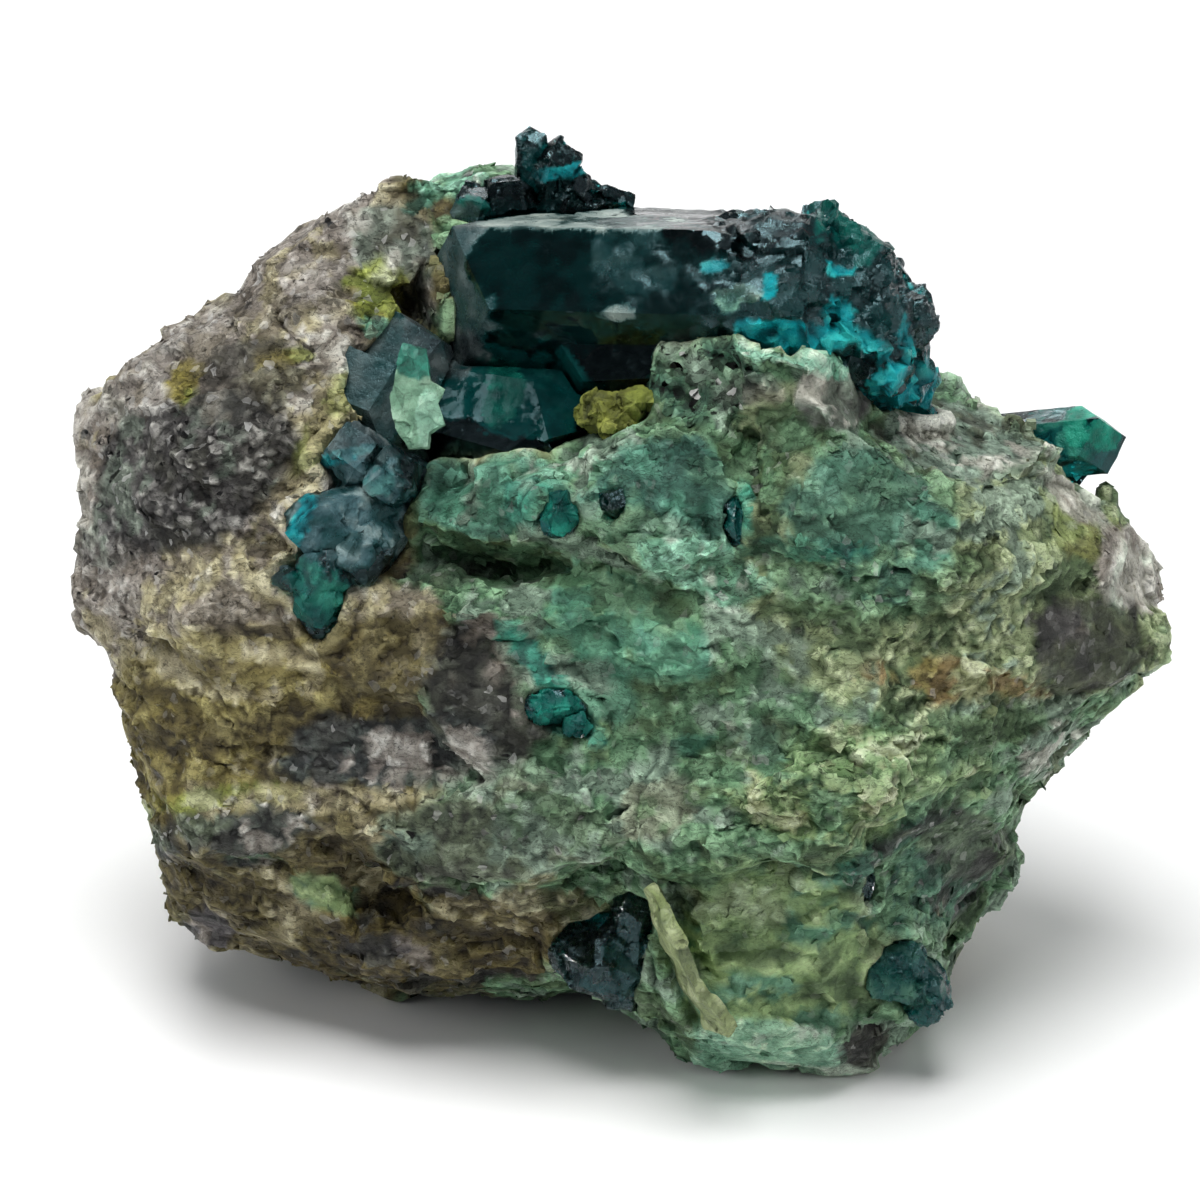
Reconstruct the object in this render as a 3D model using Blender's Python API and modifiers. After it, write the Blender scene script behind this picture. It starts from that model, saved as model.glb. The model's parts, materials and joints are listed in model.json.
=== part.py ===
"""Dioptase on matrix: dark emerald crystals on a block of foliated, copper-stained quartz rock.

The specimen stands on its flat broken base. Its front leans back a little and faces the viewer, who looks
down on it at VIEW_TILT. Places on the front are given as the pixel where the photograph shows them and a
depth in millimetres towards the viewer, and place() turns these into metres at the specimen's real size.
"""
import math

import bmesh
import bpy
import numpy as np
from mathutils import Matrix, Vector, noise

# Driving dimensions, in metres
MM = 0.001
SPECIMEN_WIDTH = 66.0 * MM
SPECIMEN_WIDTH_PIXELS = 1100
PIXEL = SPECIMEN_WIDTH / SPECIMEN_WIDTH_PIXELS
VIEW_TILT = math.radians(25)
VIEW_DISTANCE = 250 * MM
GAP = 0.35 * MM
VOXEL = 1.15 * MM
BLANK_HALF_DEPTH = 15 * MM
CAP_SPREAD = 1.07
MERGE = 0.01 * MM
FLAT_ANGLE = math.radians(0.5)
MATRIX_TRIANGLES = 4800

# The viewer's frame: the middle of the picture, and the directions right, up and towards the viewer
PICTURE_MIDDLE = (600, 600)
MIDDLE = Vector((0, -6.0 * MM, 26.3 * MM))
RIGHT = Vector((1, 0, 0))
UP = Vector((0, math.sin(VIEW_TILT), math.cos(VIEW_TILT)))
TOWARDS = Vector((0, -math.cos(VIEW_TILT), math.sin(VIEW_TILT)))

# Dioptase: hexagonal prism closed by a steep rhombohedron
PRISM_SIDES = 6
CAP_SLOPE = math.radians(50.8)

# Edge of the rock as the photograph shows it, clockwise from its left corner, in pixels
ROCK_EDGE = [
    (68, 425), (76, 402), (100, 382), (134, 354), (168, 331), (200, 317), (240, 303), (258, 302), (261, 276),
    (272, 254), (300, 231), (330, 211), (360, 197), (395, 189), (430, 181), (470, 173), (500, 168), (520, 186),
    (560, 222), (620, 262), (700, 300), (790, 345), (880, 385), (940, 409), (975, 406), (1003, 412), (1040, 440),
    (1060, 470), (1082, 486), (1105, 503), (1122, 529), (1143, 554), (1164, 577), (1163, 600), (1156, 630),
    (1142, 660), (1131, 682), (1100, 702), (1080, 733), (1060, 756), (1036, 782), (1008, 806), (1002, 830),
    (1006, 856), (994, 882), (968, 906), (946, 930), (942, 960), (944, 1000), (930, 1026), (895, 1033),
    (876, 1058), (845, 1064), (820, 1079), (795, 1084), (768, 1082), (745, 1074), (720, 1063), (690, 1047),
    (660, 1030), (620, 1013), (585, 998), (545, 998), (500, 986), (470, 990), (420, 991), (380, 979),
    (345, 968), (318, 956), (280, 945), (240, 949), (210, 944), (192, 932), (178, 903), (166, 880),
    (157, 852), (149, 825), (145, 800), (141, 775), (134, 735), (127, 690), (117, 655), (96, 638), (80, 608),
    (76, 575), (83, 535), (80, 490), (77, 455),
]

# How far the front of the rock stands towards the viewer, in millimetres, at pixels of the photograph
FRONT_DEPTHS = {
    "left corner": (75, 430, 1.0), "left edge": (85, 570, 1.5), "left lump": (190, 450, 6.0),
    "left lump top": (190, 350, 3.5), "ochre spot": (185, 378, 4.6), "lump shoulder": (300, 420, 6.6),
    "upper lump": (340, 250, 2.5), "upper lump middle": (330, 310, 5.0), "grey boss": (392, 238, 3.6),
    "crust top": (470, 190, 0.5), "lump foot": (230, 600, 6.6), "pocket": (450, 420, 2.6),
    "under main crystal": (560, 400, 3.0), "behind main crystal": (640, 310, -3.0),
    "behind cluster": (850, 360, 0.0), "left middle": (160, 700, 4.0), "amber": (380, 640, 7.5),
    "smoky corner": (500, 690, 9.0), "dark band": (400, 760, 6.6), "grey lens": (240, 835, 3.4),
    "grey chunk": (480, 840, 8.0), "lower left": (220, 920, -2.5), "lower band": (360, 920, 2.2),
    "lower edge": (470, 970, 0.8), "crevice": (520, 575, 6.0), "centre plates": (560, 490, 10.0),
    "middle plate": (660, 500, 11.0), "spongy crust": (700, 570, 11.0), "sea facet": (620, 640, 9.5),
    "seam": (640, 740, 10.0), "green field": (720, 690, 11.4), "block top": (800, 390, 9.6),
    "block face": (800, 470, 12.4), "block low": (830, 570, 12.4), "right field": (960, 540, 10.6),
    "right top": (980, 430, 5.6), "right shoulder": (1070, 520, 5.6), "right rim": (1145, 590, 1.2),
    "dark area": (1080, 640, 6.0), "orange lens": (960, 680, 10.2), "band": (880, 740, 12.0),
    "mint slab": (1050, 750, 5.6), "ridge": (820, 810, 13.6), "dark rock": (920, 870, 6.4),
    "dark rock edge": (990, 850, 2.6), "slope top": (760, 900, 9.0), "slope": (780, 970, 7.0),
    "slope foot": (800, 1060, 6.4), "slope right": (880, 1000, 4.6), "flake root": (690, 960, 6.0),
    "lower crystal seat": (610, 940, 3.6), "right low": (1000, 790, 6.0), "amber knob": (680, 800, 11.4),
}
DEPTH_SOFTNESS = 14

# Steps of the front: a named outline in pixels, how far it is raised in millimetres, and its edge width
STEPS = {
    "right block": ([(738, 545), (742, 470), (738, 415), (760, 372), (800, 358), (868, 368), (880, 430),
                     (960, 470), (1010, 560), (930, 600), (820, 580)], 1.6, 1.0),
    "middle plate": ([(590, 445), (640, 440), (690, 420), (726, 440), (730, 520), (700, 552), (640, 560),
                      (590, 520)], 1.3, 0.9),
    "mint plate": ([(420, 470), (475, 450), (540, 455), (545, 500), (590, 530), (620, 556), (520, 556),
                    (430, 545)], 1.5, 0.9),
    "crevice": ([(395, 548), (470, 556), (560, 566), (640, 566), (560, 592), (500, 612), (440, 600),
                 (385, 580)], -3.0, 1.4),
    "pocket": ([(352, 340), (420, 330), (600, 360), (600, 440), (545, 458), (480, 450), (400, 455),
                (360, 440)], -2.2, 2.0),
    "smoky corner": ([(330, 600), (450, 610), (520, 690), (552, 750), (520, 780), (440, 740), (330, 690)],
                     0.9, 1.0),
    "grey lens": ([(150, 812), (300, 800), (390, 808), (300, 862), (185, 872)], 1.1, 0.8),
    "grey chunk": ([(372, 812), (470, 780), (600, 785), (610, 850), (560, 880), (470, 892), (400, 860)],
                   1.2, 0.9),
    "lower slab": ([(190, 905), (320, 880), (480, 895), (560, 925), (550, 990), (400, 990), (210, 950)],
                   1.0, 1.0),
    "ridge": ([(660, 850), (760, 770), (900, 770), (1000, 800), (900, 850), (800, 850), (700, 880)],
              1.3, 0.9),
    "dark rock": ([(850, 830), (960, 830), (1000, 860), (960, 930), (880, 900)], -1.4, 1.2),
    "upper lump": ([(256, 303), (262, 262), (330, 208), (430, 180), (430, 300), (360, 340), (300, 330)],
                   -1.3, 1.6),
}

# The back is the inside of these planes: depth behind the middle in millimetres where the picture's middle
# is, its slope to the right and its slope upwards
BACK_PLANES = {
    "broad back": (25.5, 0.05, -0.40),
    "upper back": (29.5, 0.02, -0.86),
    "left flank": (36.0, 0.92, -0.35),
    "right flank": (35.0, -0.80, -0.30),
    "upper right flank": (31.0, -0.42, -0.62),
    "low left chip": (37.5, 0.55, 0.42),
    "low right chip": (41.0, -0.52, 0.62),
}
FRONT_RIM = 5.5 * MM
BACK_RIM = 9.0 * MM

# The rock's layers dip a little to the right and back
LAYER_TURN = Matrix.Rotation(math.radians(11), 3, "Y") @ Matrix.Rotation(math.radians(-14), 3, "X")
LAYER_TURN = LAYER_TURN @ Matrix.Rotation(math.radians(33), 3, "Z")


def clear_scene():
    """Remove what the scene holds."""
    for thing in list(bpy.data.objects):
        bpy.data.objects.remove(thing, do_unlink=True)


def place(px, py, depth):
    """Point in metres that the viewer sees at pixel (px, py), depth millimetres towards the viewer."""
    near = depth * MM
    across = (px - PICTURE_MIDDLE[0]) * PIXEL
    rise = (PICTURE_MIDDLE[1] - py) * PIXEL
    return MIDDLE + TOWARDS * near + (RIGHT * across + UP * rise) * (1 - near / VIEW_DISTANCE)


def new_material(name, colour, roughness, metallic=0.0):
    material = bpy.data.materials.new(name)
    material.use_nodes = True
    shader = material.node_tree.nodes["Principled BSDF"]
    shader.inputs["Base Color"].default_value = (*colour, 1)
    shader.inputs["Roughness"].default_value = roughness
    shader.inputs["Metallic"].default_value = metallic
    return material


def new_object(name, mesh, collection, material=None):
    thing = bpy.data.objects.new(name, mesh)
    collection.objects.link(thing)
    if material:
        mesh.materials.append(material)
    return thing


def evaluated_mesh(thing):
    """A plain mesh of an object as its modifiers leave it."""
    bpy.context.view_layer.update()
    graph = bpy.context.evaluated_depsgraph_get()
    return bpy.data.meshes.new_from_object(thing.evaluated_get(graph))


def apply_modifiers(thing):
    """Replace an object's mesh by what its modifiers make of it."""
    mesh = evaluated_mesh(thing)
    thing.modifiers.clear()
    old = thing.data
    thing.data = mesh
    if isinstance(old, bpy.types.Mesh):
        bpy.data.meshes.remove(old)


def rock_blank(collection):
    """The rock's edge as a flat outline, thickened and remeshed: x and y in picture metres, z in depth."""
    curve = bpy.data.curves.new("rock_blank", "CURVE")
    curve.dimensions = "2D"
    curve.fill_mode = "BOTH"
    curve.extrude = BLANK_HALF_DEPTH
    line = curve.splines.new("POLY")
    line.points.add(len(ROCK_EDGE) - 1)
    line.use_cyclic_u = True
    for point, (px, py) in zip(line.points, ROCK_EDGE):
        point.co = ((px - PICTURE_MIDDLE[0]) * PIXEL, (PICTURE_MIDDLE[1] - py) * PIXEL, 0, 1)
    outline = bpy.data.objects.new("rock_blank", curve)
    collection.objects.link(outline)
    mesh = evaluated_mesh(outline)
    bpy.data.objects.remove(outline)
    welded = bmesh.new()
    welded.from_mesh(mesh)
    bmesh.ops.remove_doubles(welded, verts=welded.verts, dist=MERGE)
    welded.to_mesh(mesh)
    welded.free()
    return mesh


def distance_to_line(points, line):
    """Shortest distance from each 2D point to a closed line."""
    best = np.full(len(points), np.inf)
    corners = np.array(line, float)
    for start, end in zip(corners, np.roll(corners, -1, axis=0)):
        side = end - start
        along = np.clip((points - start) @ side / (side @ side), 0, 1)
        best = np.minimum(best, np.linalg.norm(points - start - along[:, None] * side, axis=1))
    return best


def inside_line(points, line):
    """True for each 2D point inside a closed line, by counting crossings."""
    corners = np.array(line, float)
    inside = np.zeros(len(points), bool)
    for (x0, y0), (x1, y1) in zip(corners, np.roll(corners, -1, axis=0)):
        crosses = (y0 > points[:, 1]) != (y1 > points[:, 1])
        rise = y1 - y0 if y1 != y0 else 1e-9
        reach = x0 + (points[:, 1] - y0) * (x1 - x0) / rise
        inside ^= crosses & (points[:, 0] < reach)
    return inside


def soft_step(value, low, high):
    share = np.clip((value - low) / (high - low), 0, 1)
    return share * share * (3 - 2 * share)


def waves(points, scale, seed):
    """Smooth noise between about -1 and 1 at each 2D point, one wave per scale metres."""
    shift = Vector((seed * 7.3, seed * 3.1, seed * 5.7))
    return np.array([noise.noise(Vector((x / scale, y / scale, 0)) + shift) for x, y in points])


def front_depth(pixels):
    """Depth of the front at each pixel, in metres."""
    knots = np.array([knot for knot in FRONT_DEPTHS.values()], float)
    total = np.zeros(len(pixels))
    weight = np.zeros(len(pixels))
    for px, py, depth in knots:
        share = ((pixels[:, 0] - px) ** 2 + (pixels[:, 1] - py) ** 2 + DEPTH_SOFTNESS ** 2) ** -1.6
        total += share * depth
        weight += share
    depth = total / weight
    for outline, raised, edge in STEPS.values():
        reach = distance_to_line(pixels, outline) * PIXEL / MM
        reach = np.where(inside_line(pixels, outline), reach, -reach)
        depth = depth + raised * soft_step(reach, -edge, edge)
    return depth * MM


def back_depth(across, rise):
    """Depth of the back behind the middle, in metres, at picture places in metres."""
    planes = [behind * MM + right * across + up * rise for behind, right, up in BACK_PLANES.values()]
    return np.min(planes, axis=0)


def rim_drop(inset, radius):
    """How far a round rim falls away at a distance inside the edge."""
    share = np.clip(inset / radius, 0, 1)
    return radius * (1 - np.sqrt(1 - (1 - share) ** 2))


def shape_rock(mesh):
    """Move the blank's points: front relief, faceted back, round rims, foliation and broken surface."""
    flat = np.empty(len(mesh.vertices) * 3)
    mesh.vertices.foreach_get("co", flat)
    flat = flat.reshape(-1, 3)
    across, rise = flat[:, 0], flat[:, 1]
    reach = flat[:, 2] / BLANK_HALF_DEPTH * CAP_SPREAD
    share = np.clip((reach + 1) / 2, 0, 1)
    pixels = np.column_stack([PICTURE_MIDDLE[0] + across / PIXEL, PICTURE_MIDDLE[1] - rise / PIXEL])
    inset = distance_to_line(pixels, ROCK_EDGE) * PIXEL
    rough = waves(flat[:, :2], 9 * MM, 3)
    front = front_depth(pixels) - rim_drop(inset, FRONT_RIM * (0.9 + 0.5 * rough))
    back = -back_depth(across, rise) + rim_drop(inset, BACK_RIM * (1 + 0.4 * rough))
    back = np.minimum(back, front - 4 * MM)
    depth = back + (front - back) * share
    moved = np.empty_like(flat)
    for index, (right, up, near) in enumerate(zip(across, rise, depth)):
        point = MIDDLE + TOWARDS * near + (RIGHT * right + UP * up) * (1 - near / VIEW_DISTANCE)
        moved[index] = point + foliation(point, 1 - share[index])
    mesh.vertices.foreach_set("co", moved.ravel())
    mesh.update()


def foliation(point, hidden):
    """Small shift of a rock point: near-level layers that stand in and out, more on the hidden sides."""
    turned = LAYER_TURN @ point
    layers = noise.noise(Vector((turned.x / 17, turned.y / 17, turned.z / 3.7)) / MM)
    lumps = noise.noise(Vector((turned.x / 7 + 9, turned.y / 7, turned.z / 6)) / MM)
    push = (0.12 + 1.3 * hidden) * layers * MM + (0.2 + 1.2 * hidden) * lumps * MM
    outward = Vector((point.x, point.y * 1.2, 0))
    return outward.normalized() * push


def build_matrix(collection, material):
    """The block of rock, standing on a flat base at height 0."""
    rock = new_object("matrix", rock_blank(collection), collection, material)
    remesh = rock.modifiers.new("even points", "REMESH")
    remesh.mode = "VOXEL"
    remesh.voxel_size = VOXEL
    apply_modifiers(rock)
    shape_rock(rock.data)
    cut = bmesh.new()
    cut.from_mesh(rock.data)
    geometry = cut.verts[:] + cut.edges[:] + cut.faces[:]
    sliced = bmesh.ops.bisect_plane(cut, geom=geometry, plane_co=(0, 0, 0), plane_no=(0, 0, -1),
                                    clear_outer=True)
    rim = [edge for edge in sliced["geom_cut"] if isinstance(edge, bmesh.types.BMEdge)]
    bmesh.ops.edgenet_fill(cut, edges=rim)
    bmesh.ops.triangulate(cut, faces=cut.faces)
    cut.to_mesh(rock.data)
    cut.free()
    thin = rock.modifiers.new("fewer faces", "DECIMATE")
    thin.ratio = min(1.0, MATRIX_TRIANGLES / len(rock.data.polygons))
    apply_modifiers(rock)
    return rock


def prism(root, tip, radius, flat=1.0, roll=0.0, cap_turn=0.0, root_cap=False, grow=0.0, sides=PRISM_SIDES):
    """A crystal from root to tip: a prism with a three-faced point, its faces moved out by grow."""
    axis = tip - root
    length = axis.length + grow
    shape = bmesh.new()
    reach = radius + grow / math.cos(math.pi / sides)
    bmesh.ops.create_cone(shape, cap_ends=True, cap_tris=False, segments=sides, radius1=reach,
                          radius2=reach, depth=length + grow)
    bmesh.ops.translate(shape, verts=shape.verts, vec=(0, 0, (length + grow) / 2 - grow))
    bmesh.ops.scale(shape, verts=shape.verts, vec=(1, (radius * flat + grow) / (radius + grow), 1))
    for third in range(3):
        azimuth = cap_turn + third * math.tau / 3
        normal = Vector((math.sin(CAP_SLOPE) * math.cos(azimuth), math.sin(CAP_SLOPE) * math.sin(azimuth),
                         math.cos(CAP_SLOPE)))
        slice_off(shape, Vector((0, 0, axis.length)) + normal * grow, normal)
        if root_cap:
            lower = Vector((-normal.x, -normal.y, -normal.z))
            slice_off(shape, lower * grow, lower)
    turn = axis.to_track_quat("Z", "Y").to_matrix().to_4x4() @ Matrix.Rotation(roll, 4, "Z")
    bmesh.ops.transform(shape, verts=shape.verts, matrix=Matrix.Translation(root) @ turn)
    return shape


def slice_off(shape, point, normal):
    """Cut away what lies beyond a plane and close the cut. The shape is convex, so its hull closes it."""
    geometry = shape.verts[:] + shape.edges[:] + shape.faces[:]
    bmesh.ops.bisect_plane(shape, geom=geometry, plane_co=point, plane_no=normal, clear_outer=True)
    bmesh.ops.remove_doubles(shape, verts=shape.verts, dist=MERGE)
    bmesh.ops.delete(shape, geom=shape.edges[:] + shape.faces[:], context="EDGES_FACES")
    bmesh.ops.convex_hull(shape, input=shape.verts[:])
    loose = [vertex for vertex in shape.verts if not vertex.link_faces]
    bmesh.ops.delete(shape, geom=loose, context="VERTS")
    bmesh.ops.dissolve_limit(shape, angle_limit=FLAT_ANGLE, verts=shape.verts, edges=shape.edges)


def lump(centre, size, facets, seed, grow=0.0, turn=0.0):
    """A broken crystal or grain: a ball of three sizes cut by flat facets."""
    shape = bmesh.new()
    bmesh.ops.create_icosphere(shape, subdivisions=1, radius=1.0)
    picker = np.random.default_rng(seed)
    for _ in range(facets):
        normal = Vector(picker.normal(size=3)).normalized()
        slice_off(shape, normal * picker.uniform(0.6, 0.82), normal)
    half = [side / 2 * MM + grow for side in size]
    bmesh.ops.scale(shape, verts=shape.verts, vec=half)
    tilt = Matrix((RIGHT, UP, TOWARDS)).transposed().to_4x4() @ Matrix.Rotation(turn, 4, "Z")
    bmesh.ops.transform(shape, verts=shape.verts, matrix=Matrix.Translation(centre) @ tilt)
    return shape


# Crystals of each node. A prism is: root pixel and depth, tip pixel and depth, radius in millimetres,
# flatness, roll in degrees, and which way its first cap face points: -30 or 30 degrees.
# A lump is: centre pixel and depth, width, height and thickness in millimetres, facets, seed.
PRISM = "prism"
LUMP = "lump"
CLUSTERS = {
    "main_crystal": ("dark dioptase", [
        (PRISM, (830, 302, 7.2), (422, 292, -1.5), 5.2, 1.0, 40, -30),
        (PRISM, (745, 352, 6.8), (548, 362, 2.4), 2.5, 1.0, 20, -30),
        (PRISM, (820, 262, 4.0), (560, 250, -2.6), 3.0, 1.0, 40, -30),
        (LUMP, (822, 292, 4.8), (11.4, 10.6, 11.0), 12, 51),
        (LUMP, (872, 330, 4.2), (8.4, 10.8, 9.4), 12, 52),
        (LUMP, (820, 345, 5.6), (10.0, 5.4, 8.6), 10, 53),
        (PRISM, (806, 330, 3.0), (834, 199, 5.0), 2.7, 0.8, 12, 30),
        (PRISM, (786, 320, 3.0), (776, 203, 3.2), 1.9, 1.0, 35, -30),
        (PRISM, (840, 330, 3.5), (862, 241, 5.6), 2.3, 1.0, 5, -30),
        (PRISM, (850, 345, 2.6), (906, 258, 3.0), 2.3, 0.9, 20, 30),
        (PRISM, (850, 335, 3.6), (928, 318, 4.6), 2.5, 1.0, 10, -30),
        (PRISM, (850, 350, 3.0), (927, 402, 4.6), 2.3, 1.0, 30, 30),
        (PRISM, (870, 360, 1.0), (943, 418, 1.6), 1.9, 1.0, 15, -30),
        (PRISM, (850, 330, 4.0), (872, 322, 10.0), 2.4, 1.0, 25, -30),
        (PRISM, (850, 350, 3.0), (886, 376, 9.0), 2.1, 1.0, 0, 30),
        (PRISM, (790, 330, 4.0), (800, 312, 11.4), 2.2, 1.0, 14, -30),
    ]),
    "left_crystal_pair": ("dark dioptase", [
        (PRISM, (402, 486, 0.0), (349, 346, 3.6), 2.7, 1.0, 38, -30),
        (PRISM, (436, 440, -1.0), (396, 312, 2.6), 2.9, 1.0, 20, -30),
    ]),
    "pocket_crystal": ("teal dioptase", [
        (PRISM, (430, 398, -1.0), (606, 424, 4.6), 3.5, 0.9, 30, -30),
        (PRISM, (445, 430, 1.0), (560, 462, 5.6), 2.0, 1.0, 10, 30),
    ]),
    "top_crystals": ("dark dioptase", [
        (PRISM, (530, 246, -2.6), (529, 126, -1.0), 1.0, 1.0, 10, -30),
        (PRISM, (546, 246, -2.8), (560, 138, -0.6), 1.5, 1.0, 35, 30),
        (PRISM, (558, 240, -3.0), (582, 166, -1.0), 1.6, 1.0, 20, -30),
        (PRISM, (560, 238, -3.2), (633, 196, -2.4), 1.7, 1.0, 5, 30),
        (PRISM, (540, 226, -3.6), (490, 184, 0.8), 1.6, 1.0, 15, -30),
        (PRISM, (520, 236, -3.4), (456, 194, 0.6), 1.5, 1.0, 40, 30),
    ]),
    "right_crystal": ("dark dioptase", [
        (PRISM, (968, 452, -5.5), (1127, 437, -2.5), 2.15, 1.0, 32, 30),
        (PRISM, (985, 462, -5.5), (1096, 466, -4.0), 1.4, 1.0, 10, 30),
    ]),
    "left_druse": ("slate dioptase", [
        (PRISM, (415, 496, 2.0), (288, 532, 8.4), 2.4, 0.8, 24, -30),
        (PRISM, (404, 478, 2.0), (326, 446, 7.4), 1.9, 1.0, 10, 30),
        (PRISM, (400, 516, 2.0), (342, 566, 8.6), 1.9, 1.0, 40, -30),
        (PRISM, (410, 490, 2.0), (384, 470, 8.6), 1.6, 1.0, 5, 30),
        (PRISM, (360, 520, 4.0), (305, 600, 8.2), 1.7, 1.0, 22, -30),
        (LUMP, (316, 598, 6.8), (3.6, 4.2, 3.4), 9, 4),
        (LUMP, (290, 578, 6.6), (2.8, 1.9, 2.6), 8, 5),
        (LUMP, (321, 622, 6.6), (2.4, 2.6, 2.4), 8, 6),
    ]),
    "yellow_knob": ("yellow crust", [
        (LUMP, (598, 412, 6.4), (3.4, 3.3, 3.6), 9, 11),
        (LUMP, (636, 404, 6.6), (3.8, 3.4, 3.6), 9, 12),
        (LUMP, (618, 424, 7.2), (3.2, 2.4, 3.0), 8, 13),
    ]),
    "round_crystal": ("teal dioptase", [(LUMP, (557, 513, 10.2), (2.9, 3.3, 2.8), 9, 21)]),
    "emerald_crystal": ("teal dioptase", [(PRISM, (622, 516, 9.6), (609, 494, 12.4), 0.8, 1.0, 20, -30)]),
    "seam_crystal": ("teal dioptase", [
        (LUMP, (556, 706, 9.0), (4.6, 2.6, 2.6), 9, 23),
        (LUMP, (578, 726, 9.4), (2.2, 2.0, 2.2), 8, 24),
    ]),
    "teal_crystal": ("teal dioptase", [(LUMP, (507, 629, 8.2), (1.8, 1.7, 1.8), 8, 25)]),
    "slot_crystal": ("teal dioptase", [(LUMP, (733, 519, 11.2), (1.7, 3.2, 2.4), 8, 26)]),
    "lower_crystal": ("slate dioptase", [
        (PRISM, (622, 1000, 1.6), (636, 884, 5.4), 1.5, 1.0, 20, -30),
        (PRISM, (640, 960, 1.5), (548, 950, 4.4), 2.1, 1.0, 35, 30),
        (LUMP, (606, 956, 3.6), (5.8, 6.2, 4.0), 10, 31),
    ]),
    "corner_crystal": ("teal dioptase", [
        (PRISM, (896, 950, 0.5), (944, 1016, 3.2), 1.8, 1.0, 12, 30),
        (LUMP, (900, 970, 3.4), (4.6, 4.8, 3.6), 9, 41),
        (LUMP, (926, 1002, 2.6), (3.0, 3.6, 3.0), 8, 42),
    ]),
    "fringe_crystal": ("teal dioptase", [(LUMP, (860, 883, 6.2), (2.4, 3.0, 2.4), 9, 44)]),
}
LUMP_GROW = 1.7

# Crystals that an older neighbour cuts back
GREW_FIRST = {
    "left_crystal_pair": ["main_crystal", "pocket_crystal"],
    "pocket_crystal": ["main_crystal"],
    "top_crystals": ["main_crystal"],
    "yellow_knob": ["main_crystal", "pocket_crystal"],
    "left_druse": ["left_crystal_pair", "green_flake"],
    "lower_crystal": ["curled_flake"],
}

# Thin flakes: green one in front of the pocket, and the cream one that curls off the bottom
GREEN_FLAKE_EDGE = [
    (404, 345), (428, 350), (432, 382), (445, 390), (438, 403), (447, 424), (430, 432), (428, 446),
    (408, 448), (396, 428), (391, 396), (399, 370),
]
GREEN_FLAKE_DEPTH = 8.2
GREEN_FLAKE_THICKNESS = 0.9 * MM
CURL_CREST = [(664, 884, 10.0), (676, 915, 10.4), (690, 950, 10.2), (708, 985, 9.4), (734, 1022, 7.6)]
CURL_FOOT = [(662, 892, 6.2), (668, 925, 5.6), (677, 958, 5.0), (689, 992, 4.6), (706, 1020, 4.2)]
CURL_ROWS = 5
CURL_BULGE = 0.5 * MM
CURL_THICKNESS = 0.7 * MM
CURL_GROW = 180

MATERIALS = {
    "quartz rock": ((0.25, 0.24, 0.18), 0.6),
    "dark dioptase": ((0.01, 0.06, 0.06), 0.12),
    "teal dioptase": ((0.01, 0.16, 0.14), 0.2),
    "slate dioptase": ((0.02, 0.10, 0.13), 0.25),
    "yellow crust": ((0.30, 0.26, 0.05), 0.7),
    "green crust": ((0.13, 0.32, 0.22), 0.6),
    "cream shell": ((0.55, 0.55, 0.40), 0.5),
}


def shape_of(item, grow=0.0):
    """The mesh of one crystal or lump, its faces moved out by grow."""
    if item[0] == PRISM:
        _, root, tip, radius, flat, roll, cap_turn = item
        return prism(place(*root), place(*tip), radius * MM, flat, math.radians(roll),
                     math.radians(cap_turn), grow=grow)
    _, centre, size, facets, seed = item
    return lump(place(*centre), size, facets, seed, grow * LUMP_GROW)


def cutter_object(name, shape, cutters):
    """A shape that only cuts or joins others."""
    mesh = bpy.data.meshes.new(name)
    bmesh.ops.recalc_face_normals(shape, faces=shape.faces)
    shape.to_mesh(mesh)
    shape.free()
    cutter = new_object(name, mesh, cutters)
    cutter.hide_render = True
    cutter.display_type = "WIRE"
    return cutter


def boolean(thing, other, operation):
    modifier = thing.modifiers.new(other.name, "BOOLEAN")
    modifier.operation = operation
    modifier.solver = "EXACT"
    modifier.object = other


def part_object(name, shape, collection, material):
    """A shape as a visible part."""
    part = cutter_object(name, shape, collection)
    part.hide_render = False
    part.display_type = "TEXTURED"
    part.data.materials.append(material)
    return part


def build_cluster(name, material, items, collection, cutters, sockets):
    """Intergrown crystals as one solid, cut back where a neighbour grew first."""
    part = part_object(name, shape_of(items[0]), collection, material)
    for number, item in enumerate(items[1:]):
        boolean(part, cutter_object(f"{name}_join_{number}", shape_of(item), cutters), "UNION")
    for neighbour in GREW_FIRST.get(name, ()):
        for socket in sockets[neighbour]:
            boolean(part, socket, "DIFFERENCE")
    apply_modifiers(part)
    keep_largest_body(part)


def green_flake(grow):
    """The green flake's outline as a thick flat plate that faces the viewer."""
    curve = bpy.data.curves.new("flake", "CURVE")
    curve.dimensions = "2D"
    curve.fill_mode = "BOTH"
    curve.extrude = GREEN_FLAKE_THICKNESS / 2 + grow
    curve.offset = grow
    line = curve.splines.new("POLY")
    line.points.add(len(GREEN_FLAKE_EDGE) - 1)
    line.use_cyclic_u = True
    middle = np.mean(GREEN_FLAKE_EDGE, axis=0)
    for point, (px, py) in zip(line.points, GREEN_FLAKE_EDGE):
        point.co = ((px - middle[0]) * PIXEL, (middle[1] - py) * PIXEL, 0, 1)
    plate = bpy.data.objects.new("flake", curve)
    bpy.context.scene.collection.objects.link(plate)
    shape = bmesh.new()
    shape.from_mesh(evaluated_mesh(plate))
    bpy.data.objects.remove(plate)
    bmesh.ops.remove_doubles(shape, verts=shape.verts, dist=MERGE)
    turn = Matrix((RIGHT, UP, TOWARDS)).transposed().to_4x4()
    centre = place(middle[0], middle[1], GREEN_FLAKE_DEPTH)
    bmesh.ops.transform(shape, verts=shape.verts, matrix=Matrix.Translation(centre) @ turn)
    return shape


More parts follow.
